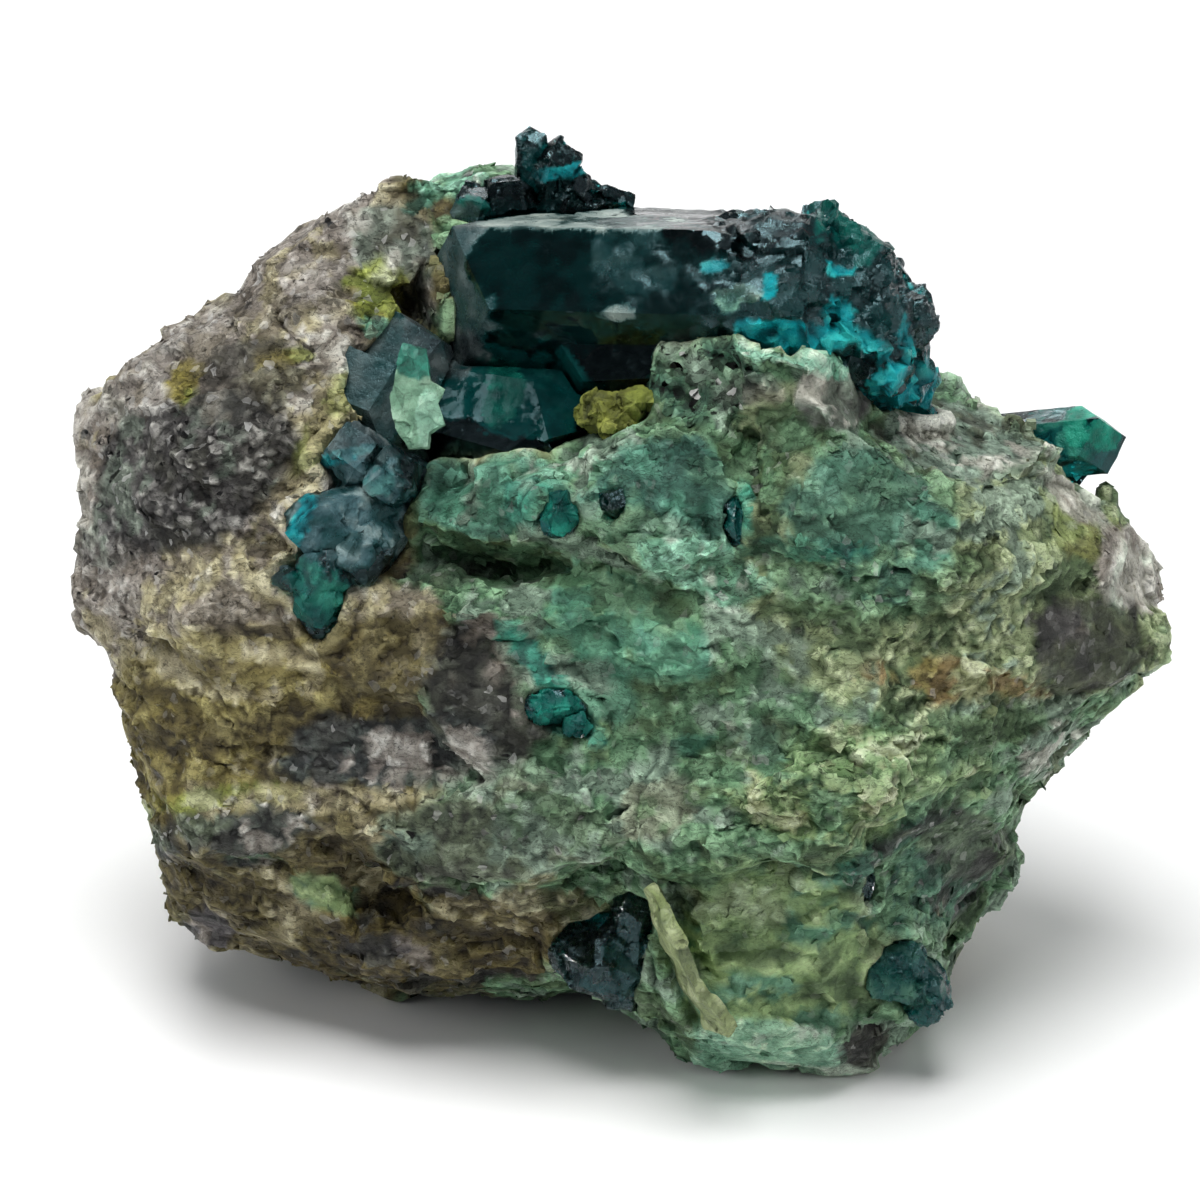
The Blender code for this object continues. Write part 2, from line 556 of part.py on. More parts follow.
def along(points, position):
    """Point at a fractional position of a list of pixels with depths, straight on past its ends."""
    low = min(max(int(math.floor(position)), 0), len(points) - 2)
    return place(*points[low]).lerp(place(*points[low + 1]), position - low)


def curled_flake(grow):
    """The curled flake: rows of points from its foot to its crest, bulged and thickened."""
    shape = bmesh.new()
    columns = len(CURL_CREST) - 1
    bmesh.ops.create_grid(shape, x_segments=columns, y_segments=CURL_ROWS - 1, size=0.5)
    spread = 1 + grow * CURL_GROW
    for vertex in shape.verts:
        position = (vertex.co.x * spread + 0.5) * columns
        share = vertex.co.y * spread + 0.5
        bulge = -RIGHT * CURL_BULGE * math.sin(math.pi * share)
        vertex.co = along(CURL_FOOT, position).lerp(along(CURL_CREST, position), share) + bulge
    bmesh.ops.recalc_face_normals(shape, faces=shape.faces)
    bmesh.ops.solidify(shape, geom=shape.faces[:], thickness=CURL_THICKNESS)
    bmesh.ops.recalc_face_normals(shape, faces=shape.faces)
    if grow:
        for vertex, normal in [(vertex, vertex.normal.copy()) for vertex in shape.verts]:
            vertex.co += normal * grow
    return shape


FLAKES = {
    "green_flake": (green_flake, "green crust"),
    "curled_flake": (curled_flake, "cream shell"),
}


def keep_largest_body(thing):
    """Drop crumbs that the sockets cut free."""
    body = bmesh.new()
    body.from_mesh(thing.data)
    body.verts.ensure_lookup_table()
    unseen = set(body.verts)
    groups = []
    while unseen:
        group, queue = set(), [unseen.pop()]
        while queue:
            vertex = queue.pop()
            group.add(vertex)
            for edge in vertex.link_edges:
                other = edge.other_vert(vertex)
                if other in unseen:
                    unseen.remove(other)
                    queue.append(other)
        groups.append(group)
    largest = max(groups, key=len)
    crumbs = [vertex for group in groups if group is not largest for vertex in group]
    bmesh.ops.delete(body, geom=crumbs, context="VERTS")
    bmesh.ops.remove_doubles(body, verts=body.verts, dist=MERGE / 2)
    bmesh.ops.dissolve_degenerate(body, dist=MERGE / 2, edges=body.edges)
    bmesh.ops.triangulate(body, faces=body.faces)
    body.to_mesh(thing.data)
    body.free()


def main():
    clear_scene()
    parts = bpy.data.collections.new("dioptase_specimen")
    cutters = bpy.data.collections.new("cutters")
    for collection in (parts, cutters):
        bpy.context.scene.collection.children.link(collection)
    materials = {name: new_material(name, colour, rough) for name, (colour, rough) in MATERIALS.items()}
    rock = build_matrix(parts, materials["quartz rock"])
    sockets = {}
    for name, (_, items) in CLUSTERS.items():
        sockets[name] = [cutter_object(f"{name}_socket_{number}", shape_of(item, GAP), cutters)
                         for number, item in enumerate(items)]
    for name, (make, material) in FLAKES.items():
        sockets[name] = [cutter_object(f"{name}_socket", make(GAP), cutters)]
        part_object(name, make(0), parts, materials[material])
    for name, (material, items) in CLUSTERS.items():
        build_cluster(name, materials[material], items, parts, cutters, sockets)
    for socket in [socket for group in sockets.values() for socket in group]:
        boolean(rock, socket, "DIFFERENCE")
    apply_modifiers(rock)
    keep_largest_body(rock)


main()
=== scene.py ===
"""Dioptase on quartz rock: dark emerald prisms on a block of foliated rock with a green copper crust.

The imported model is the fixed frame. This script makes the surfaces: the broken, layered and stained rock,
the glassy crystals, the etched teal druse, and the flakes, grains and chips that cover them.
"""

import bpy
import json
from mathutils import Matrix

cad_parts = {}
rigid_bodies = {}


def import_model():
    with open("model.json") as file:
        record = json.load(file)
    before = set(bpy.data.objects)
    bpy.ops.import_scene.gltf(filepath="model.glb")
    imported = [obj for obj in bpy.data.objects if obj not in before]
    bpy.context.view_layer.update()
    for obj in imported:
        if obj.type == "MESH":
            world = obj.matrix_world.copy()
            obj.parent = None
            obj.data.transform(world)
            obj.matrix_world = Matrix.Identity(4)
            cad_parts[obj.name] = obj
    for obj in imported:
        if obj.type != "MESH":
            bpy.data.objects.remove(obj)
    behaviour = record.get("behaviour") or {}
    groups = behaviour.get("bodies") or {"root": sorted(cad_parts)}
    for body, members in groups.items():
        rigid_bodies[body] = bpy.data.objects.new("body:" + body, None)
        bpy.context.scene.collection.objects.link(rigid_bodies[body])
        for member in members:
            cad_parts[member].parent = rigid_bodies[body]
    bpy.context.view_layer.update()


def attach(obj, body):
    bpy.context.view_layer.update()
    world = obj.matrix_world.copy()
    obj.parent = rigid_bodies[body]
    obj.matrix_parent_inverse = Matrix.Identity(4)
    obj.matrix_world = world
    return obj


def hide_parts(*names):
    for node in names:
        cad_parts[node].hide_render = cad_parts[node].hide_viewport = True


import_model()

import json
import math

import bmesh
import bpy
import numpy as np
from mathutils import Matrix, Vector
from mathutils.bvhtree import BVHTree

bl_info = {
    "name": "Dioptase specimen",
    "version": (1, 0, 0),
    "blender": (4, 5, 0),
    "location": "3D View > Sidebar > Dioptase",
    "description": "Builds the surfaces of a dioptase specimen around its packed model",
    "category": "Object",
}

MM = 0.001
BODY = "root"

# The viewer's frame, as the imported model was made: the photograph's middle, scale, tilt and distance
PIXEL = 0.06 * MM
PICTURE_SIZE = 1200
PICTURE_MIDDLE = (600, 600)
VIEW_TILT = math.radians(25)
VIEW_DISTANCE = 250 * MM
MIDDLE = Vector((0, -6.0 * MM, 26.3 * MM))
RIGHT = Vector((1, 0, 0))
UP = Vector((0, math.sin(VIEW_TILT), math.cos(VIEW_TILT)))
TOWARDS = Vector((0, -math.cos(VIEW_TILT), math.sin(VIEW_TILT)))

# Minerals of the rock. Each has the colour of its hollows, which is painted shade, its body, and its pale
# edges, which are partly wear and partly painted highlight, then how it breaks (layered steps, sugary grains,
# how smooth it stays), then a paler and a darker mineral that spot it.
MINERALS = {
    "quartz": ("#5d534d", "#837875", "#b5aaab", 0.6, 0.9, 0.0, "pale quartz", "beige quartz"),
    "pale quartz": ("#7a7070", "#9d9494", "#d6d0d5", 0.5, 0.8, 0.1, "rim quartz", "quartz"),
    "beige quartz": ("#746a58", "#a89c80", "#dbd0b8", 1.0, 0.6, 0.0, "pale quartz", "quartz"),
    "grey quartz": ("#47514c", "#737c76", "#a3ada7", 0.3, 1.0, 0.0, "rim quartz", "smoky quartz"),
    "rim quartz": ("#7b7873", "#b8b2b0", "#f3ecf0", 0.4, 0.5, 0.3, "white", "quartz"),
    "dark mica": ("#1b191b", "#454246", "#b2adb1", 0.7, 1.3, 0.0, "grey quartz", "black"),
    "ochre": ("#4b431d", "#7d7036", "#a99d55", 0.4, 1.0, 0.0, "yellow green", "olive"),
    "yellow green": ("#596329", "#868f3e", "#b4bc67", 0.6, 0.7, 0.1, "cream", "ochre"),
    "olive": ("#574b28", "#857848", "#b0a473", 1.1, 0.3, 0.1, "beige quartz", "brown"),
    "amber": ("#332b1a", "#5d5336", "#857a58", 1.1, 0.3, 0.1, "beige quartz", "brown"),
    "smoky quartz": ("#10110f", "#2d2d29", "#565851", 0.7, 0.7, 0.2, "quartz", "black"),
    "blue grey": ("#0c0f10", "#272b2e", "#4f5554", 0.9, 0.7, 0.1, "pale quartz", "black"),
    "purple grey": ("#221e22", "#4b464c", "#777179", 0.5, 0.6, 0.2, "quartz", "black"),
    "grey green": ("#2a3029", "#59624f", "#98a293", 0.8, 1.0, 0.0, "grey mint", "smoky quartz"),
    "brown": ("#1a1409", "#413619", "#6e6139", 1.1, 0.5, 0.0, "amber", "black"),
    "mint": ("#265444", "#467c6c", "#74ad9e", 1.3, 0.25, 0.1, "grey mint", "deep sea"),
    "sage": ("#30523a", "#608467", "#98be9e", 1.2, 0.25, 0.0, "grey mint", "khaki"),
    "sea": ("#2e5f4a", "#568b76", "#80b99f", 0.5, 0.25, 0.4, "mint", "sage"),
    "deep sea": ("#183c31", "#315951", "#4c796e", 1.2, 0.2, 0.1, "mint", "dark teal"),
    "pale crust": ("#335c48", "#72a993", "#b5ebda", 1.0, 1.2, 0.0, "white", "sage"),
    "yellow sage": ("#525f42", "#929e7a", "#d2dab9", 1.4, 0.2, 0.0, "grey mint", "khaki"),
    "khaki": ("#273924", "#44593c", "#657d5b", 0.5, 0.5, 0.2, "yellow sage", "sage"),
    "pink grey": ("#3d3f3c", "#636a64", "#93a198", 0.3, 0.6, 0.4, "rim quartz", "purple grey"),
    "grey mint": ("#3f5048", "#75867d", "#b0c6ba", 1.0, 0.6, 0.0, "rim quartz", "dark olive"),
    "dark olive": ("#24281c", "#44493a", "#6d7058", 0.5, 0.4, 0.3, "grey green", "black"),
    "orange": ("#423218", "#735934", "#a28660", 0.8, 0.6, 0.1, "cream", "olive"),
    "pale green": ("#364c2b", "#718a5e", "#b3c69b", 1.5, 0.2, 0.0, "cream", "sage"),
    "slope green": ("#5c7652", "#91a978", "#cde0b0", 0.25, 0.2, 0.6, "mint", "khaki"),
    "dark teal": ("#1d3830", "#3a6354", "#6f9a85", 0.7, 0.8, 0.0, "sage", "black"),
    "teal": ("#083230", "#1a685f", "#45a594", 0.5, 0.6, 0.1, "mint", "dark teal"),
    "cream": ("#6f744e", "#adb08a", "#e2e4cb", 0.5, 0.4, 0.2, "white", "khaki"),
    "spongy green": ("#1d352b", "#557660", "#a6c6ae", 0.6, 2.4, 0.0, "grey mint", "dark teal"),
    "black": ("#0d0d0d", "#262626", "#565656", 0.6, 0.8, 0.0, "smoky quartz", "black"),
    "white": ("#8f9490", "#c9cec9", "#f2f5f2", 0.5, 0.6, 0.0, "white", "pale quartz"),
    "olive green": ("#313612", "#75792e", "#bfc167", 0.5, 0.5, 0.0, "cream", "olive"),
    "flake green": ("#3f6a58", "#6b9480", "#a9cbb9", 0.5, 0.3, 0.2, "mint film", "mint"),
    "shell": ("#525f44", "#8b966a", "#d6dcb6", 0.5, 0.3, 0.2, "cream", "khaki"),
    "mint film": ("#6a9f8e", "#a6d4c4", "#e2f4ea", 0.8, 0.4, 0.0, "white", "pale crust"),
    "emerald film": ("#01302c", "#0a5a51", "#2a9c8c", 0.5, 0.3, 0.3, "teal", "dark teal"),
}

# Films on the crystals: the colour of their hollows, which is painted shade, their body, and their pale
# edges, which are painted highlight
FILMS = {
    "turquoise": ("#013c4a", "#00a2b8", "#3fd3dc"),
    "deep teal": ("#03363c", "#0a6066", "#23999a"),
    # Painted reflection: the grey that glossy faces reflect
    "violet film": ("#272a31", "#484c53", "#7a7e86"),
    # Painted glow of light coming through a crystal's tip
    "bright emerald": ("#0a5f53", "#1b9c88", "#55cfba"),
    # Etched skin whose grey is painted sheen
    "slate film": ("#293e49", "#587281", "#a6b6c1"),
    # Painted reflection of the bright light above
    "pale film": ("#7d888c", "#a9b2b6", "#d5dadc"),
    # Painted shade: near-black over the pocket crystal
    "pocket film": ("#010f11", "#031c1f", "#0a3a3a"),
    # Painted highlight on an etched face
    "pale slate": ("#5f6b70", "#97a2a6", "#cdd4d6"),
}

# Where each mineral shows on the front: pixel of its middle, half width and half height in pixels, turn in
# degrees anticlockwise, mineral, and how far it covers what lies under it. Later ones lie on earlier ones.
PATCHES = {
    "left lump": (190, 480, 150, 190, 0, "quartz", 1.0),
    "left lump top": (150, 375, 120, 40, 30, "pale quartz", 0.8),
    "left edge": (85, 520, 30, 130, 0, "pale quartz", 0.7),
    "upper lump": (330, 265, 110, 90, 25, "quartz", 1.0),
    "upper lump pale": (300, 300, 60, 30, 30, "pale quartz", 0.6),
    "lump right": (300, 420, 70, 110, -10, "beige quartz", 0.9),
    "lump foot": (220, 610, 150, 60, 15, "beige quartz", 1.0),
    "foot edge": (100, 600, 50, 45, 0, "quartz", 0.8),
    "mica": (185, 470, 115, 78, 24, "dark mica", 0.95),
    "mica top": (240, 380, 70, 40, 28, "smoky quartz", 0.75),
    "mica low": (120, 540, 60, 30, 20, "dark mica", 0.6),
    "grey boss": (392, 240, 40, 42, 0, "grey quartz", 0.9),
    "ochre spot": (186, 378, 26, 30, -20, "ochre", 1.0),
    "ochre fleck": (285, 357, 30, 9, 8, "ochre", 0.8),
    "yellow patch": (380, 300, 30, 34, -20, "yellow green", 1.0),
    "yellow patch top": (372, 278, 34, 12, 10, "yellow green", 1.0),
    "mint fleck": (373, 326, 15, 10, 10, "pale crust", 1.0),
    "yellow seam": (325, 425, 60, 14, 58, "yellow green", 0.55),
    "crust top": (455, 188, 55, 20, 8, "pale crust", 1.0),
    "crust top green": (420, 205, 24, 14, 20, "mint", 0.8),
    "left middle": (230, 680, 130, 60, 8, "olive", 0.75),
    "left olive": (180, 750, 75, 55, 5, "olive", 1.0),
    "left brown": (250, 730, 120, 16, 4, "amber", 0.7),
    "amber": (380, 645, 75, 55, -10, "amber", 1.0),
    "amber light": (350, 600, 60, 20, 0, "beige quartz", 0.6),
    "smoky corner": (495, 690, 75, 75, -35, "smoky quartz", 1.0),
    "dark band": (395, 750, 110, 42, 4, "blue grey", 1.0),
    "band grey": (470, 780, 80, 24, 3, "grey quartz", 0.4),
    "orange spot": (366, 711, 17, 11, 10, "orange", 1.0),
    "yellow line": (210, 800, 85, 12, 4, "yellow green", 0.75),
    "lens upper": (330, 800, 120, 14, 3, "beige quartz", 0.7),
    "grey lens": (240, 842, 78, 30, 4, "blue grey", 0.95),
    "lens edge": (190, 830, 40, 14, 8, "grey green", 0.7),
    "grey chunk": (490, 835, 125, 50, 4, "grey green", 1.0),
    "chunk mint": (560, 820, 70, 34, 10, "sage", 0.5),
    "lower olive": (300, 905, 120, 42, -6, "amber", 0.9),
    "lower left": (200, 890, 34, 46, 0, "amber", 0.8),
    "lower brown": (440, 935, 130, 50, -4, "brown", 1.0),
    "lower amber": (520, 905, 90, 22, 5, "amber", 0.8),
    "green fleck": (322, 893, 36, 18, -20, "slope green", 0.8),
    "purple corner": (207, 925, 22, 22, 0, "purple grey", 1.0),
    "purple spot": (405, 952, 24, 14, 0, "purple grey", 0.9),
    "lower edge": (380, 975, 120, 14, -12, "brown", 0.9),
    "amber knob": (665, 800, 44, 30, 20, "amber", 0.35),
    "field": (700, 650, 200, 130, -10, "sage", 1.0),
    "right block": (960, 580, 230, 150, -8, "yellow sage", 1.0),
    "right green": (860, 520, 110, 110, 0, "sage", 0.9),
    "mint plate": (500, 490, 70, 42, 0, "mint", 0.9),
    "plate left": (440, 450, 44, 40, 20, "mint", 0.9),
    "middle plate": (665, 495, 75, 62, 10, "deep sea", 1.0),
    "plate top": (680, 385, 66, 46, 10, "sage", 0.9),
    "spongy crust": (705, 372, 72, 46, 0, "spongy green", 1.0),
    "plate dark": (640, 525, 60, 24, 0, "sage", 0.6),
    "pale crust": (705, 572, 60, 32, -12, "pale crust", 0.85),
    "crust strip": (560, 470, 60, 12, 8, "pale crust", 0.6),
    "sea facet": (620, 630, 90, 52, -28, "sea", 1.0),
    "sea low": (600, 690, 60, 34, -30, "mint", 0.7),
    "khaki block": (775, 460, 44, 90, 0, "khaki", 0.95),
    "block pink": (833, 400, 40, 36, 0, "pink grey", 1.0),
    "block purple": (755, 388, 34, 22, 0, "purple grey", 0.6),
    "block top line": (802, 360, 66, 14, -8, "mint film", 1.0),
    "block sage": (860, 500, 70, 60, 0, "deep sea", 0.8),
    "sea patch": (935, 530, 32, 34, 0, "mint", 0.9),
    "teal spots": (872, 578, 38, 30, 0, "dark teal", 1.0),
    "teal slot": (800, 548, 60, 10, 0, "teal", 0.5),
    "right top": (960, 440, 80, 34, -6, "grey mint", 1.0),
    "right yellow": (1050, 515, 70, 48, -20, "yellow sage", 0.8),
    "right lemon": (1085, 530, 34, 28, -30, "yellow green", 0.5),
    "right rim": (1140, 570, 40, 50, -35, "rim quartz", 1.0),
    "rim top": (1075, 500, 46, 12, -38, "rim quartz", 0.9),
    "orange lens": (965, 682, 85, 24, -5, "orange", 0.9),
    "dark area": (1085, 645, 62, 52, 20, "dark olive", 1.0),
    "dark flake": (1060, 630, 34, 20, 0, "purple grey", 0.8),
    "right low": (1010, 730, 70, 34, 0, "sage", 0.7),
    "mint slab": (1060, 752, 40, 34, 35, "grey mint", 0.8),
    "band": (860, 760, 130, 34, -6, "pale green", 0.75),
    "band blue": (760, 735, 40, 26, 0, "grey mint", 0.6),
    "ridge": (830, 815, 110, 34, -10, "pale green", 1.0),
    "dark rock": (925, 870, 75, 62, 10, "dark teal", 1.0),
    "rock grey": (965, 850, 40, 36, 0, "dark olive", 0.7),
    "slope": (775, 960, 105, 100, -20, "slope green", 1.0),
    "slope light": (740, 900, 60, 50, 20, "pale green", 0.6),
    "slope foot": (780, 1054, 96, 40, -6, "mint film", 0.7),
    "black foot": (862, 1042, 26, 26, 0, "black", 1.0),
    "seam teal": (562, 716, 36, 22, -30, "teal", 0.7),
    "teal edge": (510, 632, 16, 12, 0, "teal", 0.9),
    "seam emerald": (545, 672, 56, 13, -50, "emerald film", 0.95),
    "seam dark": (585, 725, 30, 16, -45, "teal", 0.9),
    "plate window": (528, 500, 26, 26, 0, "teal", 0.7),
    "slot edge": (742, 512, 10, 30, 0, "teal", 0.8),
    "low emerald": (690, 742, 34, 12, 10, "teal", 0.6),
    "teal line": (842, 556, 30, 7, 5, "teal", 0.8),
    "teal corner": (856, 872, 20, 18, 0, "teal", 0.7),
    "blue flecks": (765, 740, 18, 34, 20, "teal", 0.5),
    # Painted shade: black laid in the crevice under the plates, where the gap lies in shade
    "crevice": (440, 570, 66, 8, 2, "black", 0.6),
    "pocket": (470, 400, 120, 60, 0, "dark teal", 0.9),
    "behind left": (385, 420, 34, 60, -10, "beige quartz", 0.5),
    "beside the end": (428, 300, 20, 50, 0, "blue grey", 0.9),
}

# Layered noise: how high each layer is against the last, and what the layers add up to
NEXT_LAYER = 0.55
FULL_HEIGHT = 1.6

# How each layer of the noise is turned, so that their waves don't line up
TILTS = [
    np.array(Matrix.Rotation(1.1 * turn + 0.4, 3, Vector((1, turn % 3, 0.5 * turn))))
    for turn in range(6)
]

# How the layers of the rock lie
LAYER_TURN = np.array(Matrix.Rotation(math.radians(7), 3, "Y") @ Matrix.Rotation(math.radians(-12), 3, "X"))

# The edge of a patch wanders less where the patch is larger than this, in pixels
CALM_PATCH = 26

# Narrow hollows of the front: pixels along each, depth in millimetres and half width in pixels
CRACKS = {
    "under the plates": ([(392, 560), (440, 566), (500, 574), (560, 572), (640, 562)], 0.8, 6),
    "left of the block": ([(738, 420), (741, 480), (740, 545)], 1.3, 5),
    "below the block": ([(740, 548), (790, 552), (840, 545), (905, 552)], 0.7, 4),
    "facet seam": ([(548, 588), (600, 636), (660, 676), (700, 700)], 0.7, 4),
    "smoky edge": ([(470, 622), (516, 668), (552, 738)], 0.5, 4),
    "left band": ([(140, 764), (210, 762), (300, 752), (352, 744)], 0.7, 4),
    "lens top": ([(150, 812), (230, 806), (330, 800), (420, 792)], 0.6, 4),
    "lens foot": ([(170, 866), (260, 872), (350, 858), (388, 842)], 0.8, 4),
    "chunk foot": ([(392, 850), (430, 876), (470, 896), (560, 886), (620, 858)], 0.8, 5),
    "lower slab": ([(310, 900), (380, 905), (450, 915), (540, 925)], 0.6, 4),
    "ridge top": ([(690, 845), (750, 830), (800, 838), (850, 824), (900, 836)], 1.1, 5),
    "ridge fold": ([(760, 800), (800, 812), (860, 800), (900, 806)], 0.7, 4),
    "slope edge": ([(668, 880), (690, 940), (712, 990), (738, 1024)], 0.9, 5),
    "rock side": ([(846, 860), (868, 910), (900, 935), (930, 935)], 0.9, 6),
    "right crease": ([(880, 440), (882, 500)], 0.5, 3),
    "right slab": ([(1000, 700), (1060, 702), (1120, 690)], 0.7, 4),
    "lump crease": ([(256, 306), (300, 345), (330, 400), (300, 460), (270, 520)], 0.5, 5),
    "upper crease": ([(300, 250), (330, 262), (350, 300)], 0.5, 4),
    "beside crystals": ([(344, 330), (352, 400), (372, 448)], 0.7, 6),
}

# What the sides and back are made of, from the commonest to the rarest, by a random number for each layer
HIDDEN_MINERALS = ("quartz", "beige quartz", "olive", "smoky quartz", "sage", "pale quartz", "amber",
                   "grey green", "pale green", "dark mica")

# Sizes of the broken pieces of the rock in millimetres: two ways along the layers, and across them
HIDDEN_LAYER = (22, 22, 6.5)
LARGE_PIECE = (8.0, 8.0, 4.5)
LEANING_PIECE = (6.5, 6.5, 3.0)
SMALL_PIECE = (4.2, 4.2, 1.4)
THIN_PIECE = (2.2, 2.2, 0.9)
GRAIN = (0.9, 0.9, 0.7)
PLATE_STEPS = (9.0, 9.0, 2.6)

# Where the front turns from stained rock to green crust: pixels across the picture
STAINED_TO_GREEN = (400, 430)

# How much darker the minerals are than the photograph's colours, for this stage's light: red, green, blue
LIGHT_SHARE = np.array((0.88, 0.92, 0.80))

# The rock is thinned to this many triangles, a little under what a piece may have
ROCK_TRIANGLES = 190000

# Patches that stand above the rock around them, or lie below it, in millimetres
RAISED_PLATES = {
    "mint plate": 0.8, "middle plate": 0.9, "plate left": 0.7, "pale crust": 0.5, "sea patch": 0.4,
    "block top line": 0.6, "grey boss": 0.5, "smoky corner": 0.4, "grey chunk": 0.4,
    "pocket": -0.6, "teal spots": -0.5, "seam teal": -0.6, "dark area": -0.2,
}

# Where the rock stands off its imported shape: middle pixel, half width and half height, turn, and how many
# millimetres the surface goes right, up and towards the viewer
LIFTS = {
    "crust over the crystal": (705, 404, 84, 28, 0, 0, 3.4, 1.6),
    "top of the block": (812, 402, 56, 24, -6, 0, 2.2, 0.6),
    "below the crevice": (505, 602, 130, 38, -3, 0, 0.3, 4.8),
    "end of the crystal": (434, 298, 44, 66, 0, -1.6, 0, -4.6),
}

# Patches that broke as one flat face
FLAT_PLATES = (
    "slope", "field", "grey chunk", "smoky corner", "amber", "dark rock", "khaki block", "block sage",
    "right top", "right yellow", "dark area", "sea facet", "sea low", "plate top", "middle plate",
    "mint plate", "plate left", "block pink", "sea patch", "mint slab", "right rim", "slope foot",
)

# Edges sharper than this show as edges
CRISP_ANGLE = math.radians(30)

# How the rock meets the crystals, in millimetres: how far from them this goes, between which distances its
# relief grows, how far it swells against them, and between which distances the swelling ends
CRYSTAL_REACH = 2.0
CLEAR_OF_CRYSTALS = (0.1, 1.4)
SWELL = 0.42
SWELL_GAP = (0.5, 1.1)

# Heights above the floor between which the relief of the rock grows, so that it stands flat
FOOT_RISE = (0.2 * MM, 1.6 * MM)

# How the fine plates lean, as the layers of the rock do
LAYER_LEAN = (math.radians(12), math.radians(7), 0)

# A value moved from one range to another without leaving it
SMOOTHLY = {"interpolation_type": "SMOOTHSTEP"}

# Half way through the random colours of the flakes and grains
MIDDLE_COLOUR = (0.5, 0.5, 0.5)

# Packed crystals: how rough their faces are etched (0 to 1), growth steps and broken relief in millimetres
CRYSTALS = {
    "main_crystal": (0.08, 0.05, 0.02), "left_crystal_pair": (0.25, 0.05, 0.04),
    "pocket_crystal": (0.20, 0.05, 0.06), "top_crystals": (0.40, 0.08, 0.25),
    "right_crystal": (0.05, 0.04, 0.03), "left_druse": (0.75, 0.12, 0.30), "round_crystal": (0.6, 0.1, 0.4),
    "emerald_crystal": (0.3, 0.05, 0.1), "seam_crystal": (0.5, 0.1, 0.4), "teal_crystal": (0.5, 0.1, 0.4),
    "slot_crystal": (0.5, 0.1, 0.35), "lower_crystal": (0.5, 0.1, 0.25), "corner_crystal": (0.5, 0.1, 0.35),
    "fringe_crystal": (0.5, 0.1, 0.3),
}

# Crust pieces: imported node, mineral, grain size, relief and bend in millimetres, slot, material, roughness.
# The crumbled knob scatters light and looks dry. The flake and the shell are smoother and have a faint gloss.
CRUST_PIECES = (
    ("yellow_knob", "olive green", 1.3, 0.4, 0.2, "ochre", "olive crust, crumbled", 0.75),
    ("green_flake", "flake green", 1.6, 0.14, 0.3, "crust", "green crust, flaked", 0.55),
    ("curled_flake", "shell", 1.8, 0.12, 0.8, "shell", "cream shell, curled", 0.5),
)

# Coloured films on the crystals: middle pixel, half width and half height, turn, film, and how opaque
CRYSTAL_FILMS = {
    "teal wash": (830, 300, 90, 70, -20, "deep teal", 0.15),
    "front depth": (545, 280, 170, 66, -3, "deep teal", 0.08),
    "cyan foot": (812, 348, 56, 17, -14, "turquoise", 1.0),
    "mint line": (800, 366, 66, 8, -8, "mint film", 1.0),
    "cyan right": (886, 388, 30, 22, -35, "turquoise", 0.9),
    "cyan middle": (838, 318, 10, 24, 10, "turquoise", 0.9),
    "cyan upper": (838, 270, 18, 7, -20, "turquoise", 0.9),
    "cyan low": (872, 352, 12, 22, 30, "turquoise", 0.8),
    "bright spot": (771, 286, 7, 16, 5, "turquoise", 1.0),
    "mint spot": (736, 296, 17, 10, 10, "mint film", 0.9),
    "small spot": (713, 267, 11, 6, 10, "turquoise", 0.8),
    "emerald top": (850, 225, 36, 24, -30, "emerald film", 0.5),
    "right edge": (905, 335, 10, 28, 0, "turquoise", 0.7),
    # The druse's etched skin, with its grey sheen painted
    "druse film": (352, 492, 76, 64, 20, "slate film", 0.85),
    "druse edge": (300, 520, 10, 34, -25, "turquoise", 0.85),
    "druse line": (330, 462, 40, 6, 20, "turquoise", 0.8),
    "druse emerald": (312, 602, 34, 26, 0, "teal", 0.8),
    "druse right": (390, 480, 22, 26, 0, "deep teal", 0.6),
    # Painted shade: a near-black film over the pocket crystal, which also hides its reflection
    "pocket face": (510, 396, 90, 44, -10, "pocket film", 0.9),
    # Painted glow: emerald standing for light coming through the pocket crystal
    "pocket glow": (500, 398, 16, 34, -20, "emerald film", 0.55),
    # Painted reflection on the faces of the left pair
    "left face": (378, 390, 56, 80, 10, "violet film", 0.75),
    "top seam": (560, 172, 22, 5, 10, "turquoise", 0.8),
    "top window": (470, 206, 14, 12, 0, "emerald film", 0.8),
    "corner film": (912, 976, 48, 48, 0, "dark teal", 0.7),
    "seam film": (560, 712, 44, 30, -30, "emerald film", 0.85),
    "small film": (507, 629, 18, 18, 0, "emerald film", 0.9),
    "round film": (524, 497, 40, 40, 0, "deep teal", 0.6),
    "wedge film": (569, 490, 34, 36, 0, "emerald film", 0.85),
    "slot film": (742, 512, 30, 44, 0, "emerald film", 0.5),
    # Etched skin of the lower crystal, with its grey sheen painted
    "lower film": (610, 950, 40, 34, 20, "slate film", 0.25),
    # Painted reflection of the bright light above, on the main crystal's top face
    "top face": (550, 222, 116, 14, -2, "pale film", 0.85),
    # Painted highlight on an etched chip
    "bright chip": (616, 314, 15, 8, -4, "pale slate", 0.9),
    # Etched patches of the main crystal, with their grey sheen painted
    "etched grey": (640, 252, 34, 28, -40, "slate film", 0.22),
    "etched right": (700, 290, 50, 40, -20, "slate film", 0.12),
    # Painted reflection on the end faces of the main crystal
    "end face": (450, 280, 42, 74, 0, "violet film", 0.75),
    "tip film": (1080, 440, 66, 30, -20, "teal", 0.85),
    # Painted glow: bright emerald standing for light coming through the crystal's tip
    "tip glow": (1098, 434, 38, 22, -20, "bright emerald", 0.8),
}

